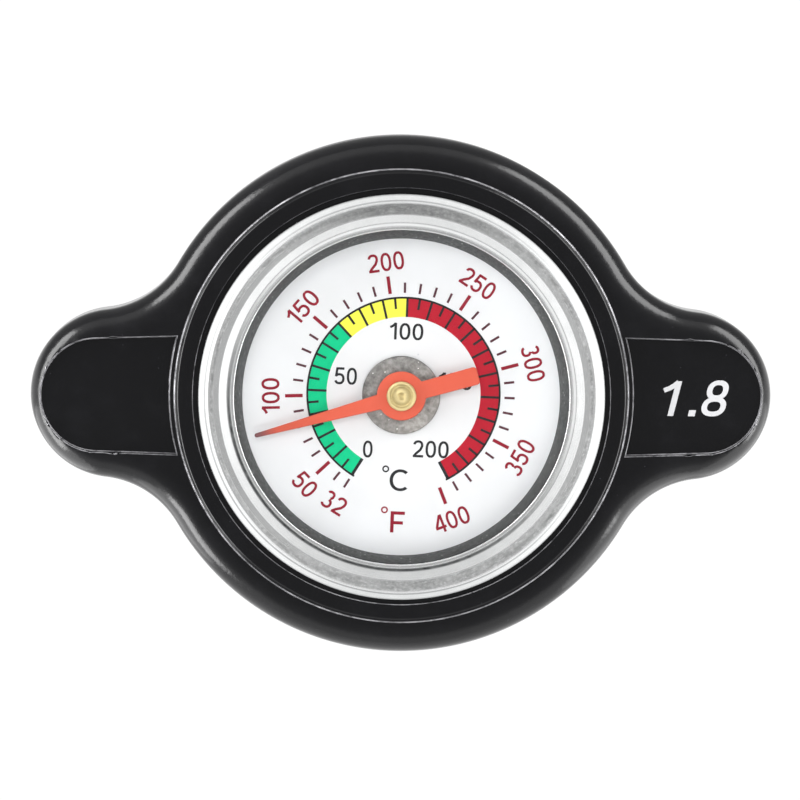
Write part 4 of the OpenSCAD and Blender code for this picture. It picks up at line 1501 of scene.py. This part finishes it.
def studio_lamps():
    """Two lamps overhead, and a strip and a small card at each side, which spare the bezel."""
    overhead, strip_size, strip_elevation = (0.35, 0.3), (1.4, 0.3), 11
    card_tall, card_elevation, card_distance, card_z = 0.04, -8, 0.03, 4
    for name, energy, azimuth, elevation in (("key", 1.5, 115, 72), ("fill", 1.0, -60, 68)):
        softbox(name, energy, overhead, azimuth, elevation).visible_glossy = False
    shaded = bpy.data.collections.new("Strip shade")
    shaded.objects.link(bpy.data.objects["bezel"])
    shaded.collection_objects[0].light_linking.link_state = "EXCLUDE"
    for name, energy, azimuth in (("strip_right", 7.0, 14), ("strip_left", 9.5, 178)):
        strip = softbox(name, energy, strip_size, azimuth, strip_elevation)
        strip.light_linking.receiver_collection = shaded
    wing = high("handle_cover").x - mm("wing_radius")
    for name, side, energy, wide, azimuth in (("card_left", -1, 0.0052, 0.036, 223),
                                              ("card_right", 1, 0.0044, 0.045, 315)):
        at = Vector((side * wing, 0, card_z)) * MM
        card = softbox(name, energy, (wide, card_tall), azimuth, card_elevation, card_distance, at, "ELLIPSE")
        card.light_linking.receiver_collection = shaded
        card.visible_camera = False


def photo_camera():
    """A camera above the cap, a little to its upper left, framed as the photograph is."""
    distance, view_width = sizes().camera_distance, 68.85 * MM
    aim = Vector((-0.07, -0.57, 6)) * MM
    lean_x, lean_y, roll = (math.radians(angle) for angle in (-1.0, 4.5, 0.33))
    away = Vector((math.tan(lean_x), math.tan(lean_y), 1)).normalized()
    right = Vector((0, 1, 0)).cross(away).normalized()
    turned = Matrix((right, away.cross(right), away)).transposed() @ Matrix.Rotation(roll, 3, "Z")
    data = bpy.data.cameras.new("Camera")
    camera = bpy.data.objects.new("Camera", data)
    camera.matrix_world = Matrix.Translation(aim + away * distance) @ turned.to_4x4()
    data.sensor_fit = "HORIZONTAL"
    data.angle = 2 * math.atan(view_width / 2 / distance)
    data.clip_start, data.clip_end = 0.01, 10
    return camera


class CAP_OT_stage(bpy.types.Operator):
    """Sets up the pale floor, the soft light and the camera"""
    bl_idname = "cap.stage"
    bl_label = "Stage"

    def execute(self, context):
        scene = context.scene
        floor = pale_floor()
        scene.world = studio_sky()
        studio_lamps()
        scene.camera = photo_camera()
        scene.collection.objects.link(scene.camera)
        scene.view_settings.view_transform = "Standard"
        return {"FINISHED"}


STEPS = (CAP_OT_finishes, CAP_OT_cover, CAP_OT_shell, CAP_OT_bezel, CAP_OT_lens, CAP_OT_dial, CAP_OT_scale,
         CAP_OT_figures, CAP_OT_pointer, CAP_OT_wing_figures, CAP_OT_seals, CAP_OT_valves, CAP_OT_springs,
         CAP_OT_probe, CAP_OT_inner_parts, CAP_OT_stage)


class CAP_PT_panel(bpy.types.Panel):
    """Lists the steps, sizes and colours of the cap"""
    bl_label = "Radiator cap thermometer"
    bl_idname = "CAP_PT_panel"
    bl_space_type = "VIEW_3D"
    bl_region_type = "UI"
    bl_category = "Cap gauge"

    def draw(self, context):
        for step in STEPS:
            self.layout.operator(step.bl_idname)
        for group in (context.scene.cap_sizes, context.scene.cap_colours):
            box = self.layout.box()
            for name in group.__annotations__:
                box.prop(group, name)


CLASSES = (CapSizes, CapColours, *STEPS, CAP_PT_panel)


def register():
    for cls in CLASSES:
        bpy.utils.register_class(cls)
    bpy.types.Scene.cap_sizes = PointerProperty(type=CapSizes)
    bpy.types.Scene.cap_colours = PointerProperty(type=CapColours)


def unregister():
    del bpy.types.Scene.cap_colours
    del bpy.types.Scene.cap_sizes
    for cls in reversed(CLASSES):
        bpy.utils.unregister_class(cls)


def main():
    """Makes every piece in order."""
    register()
    for step in STEPS:
        group, name = step.bl_idname.split(".")
        getattr(getattr(bpy.ops, group), name)()
    for master in GLYPHS.values():
        bpy.data.objects.remove(master)
    clear()
    bpy.context.view_layer.update()


if __name__ == "__main__":
    main()
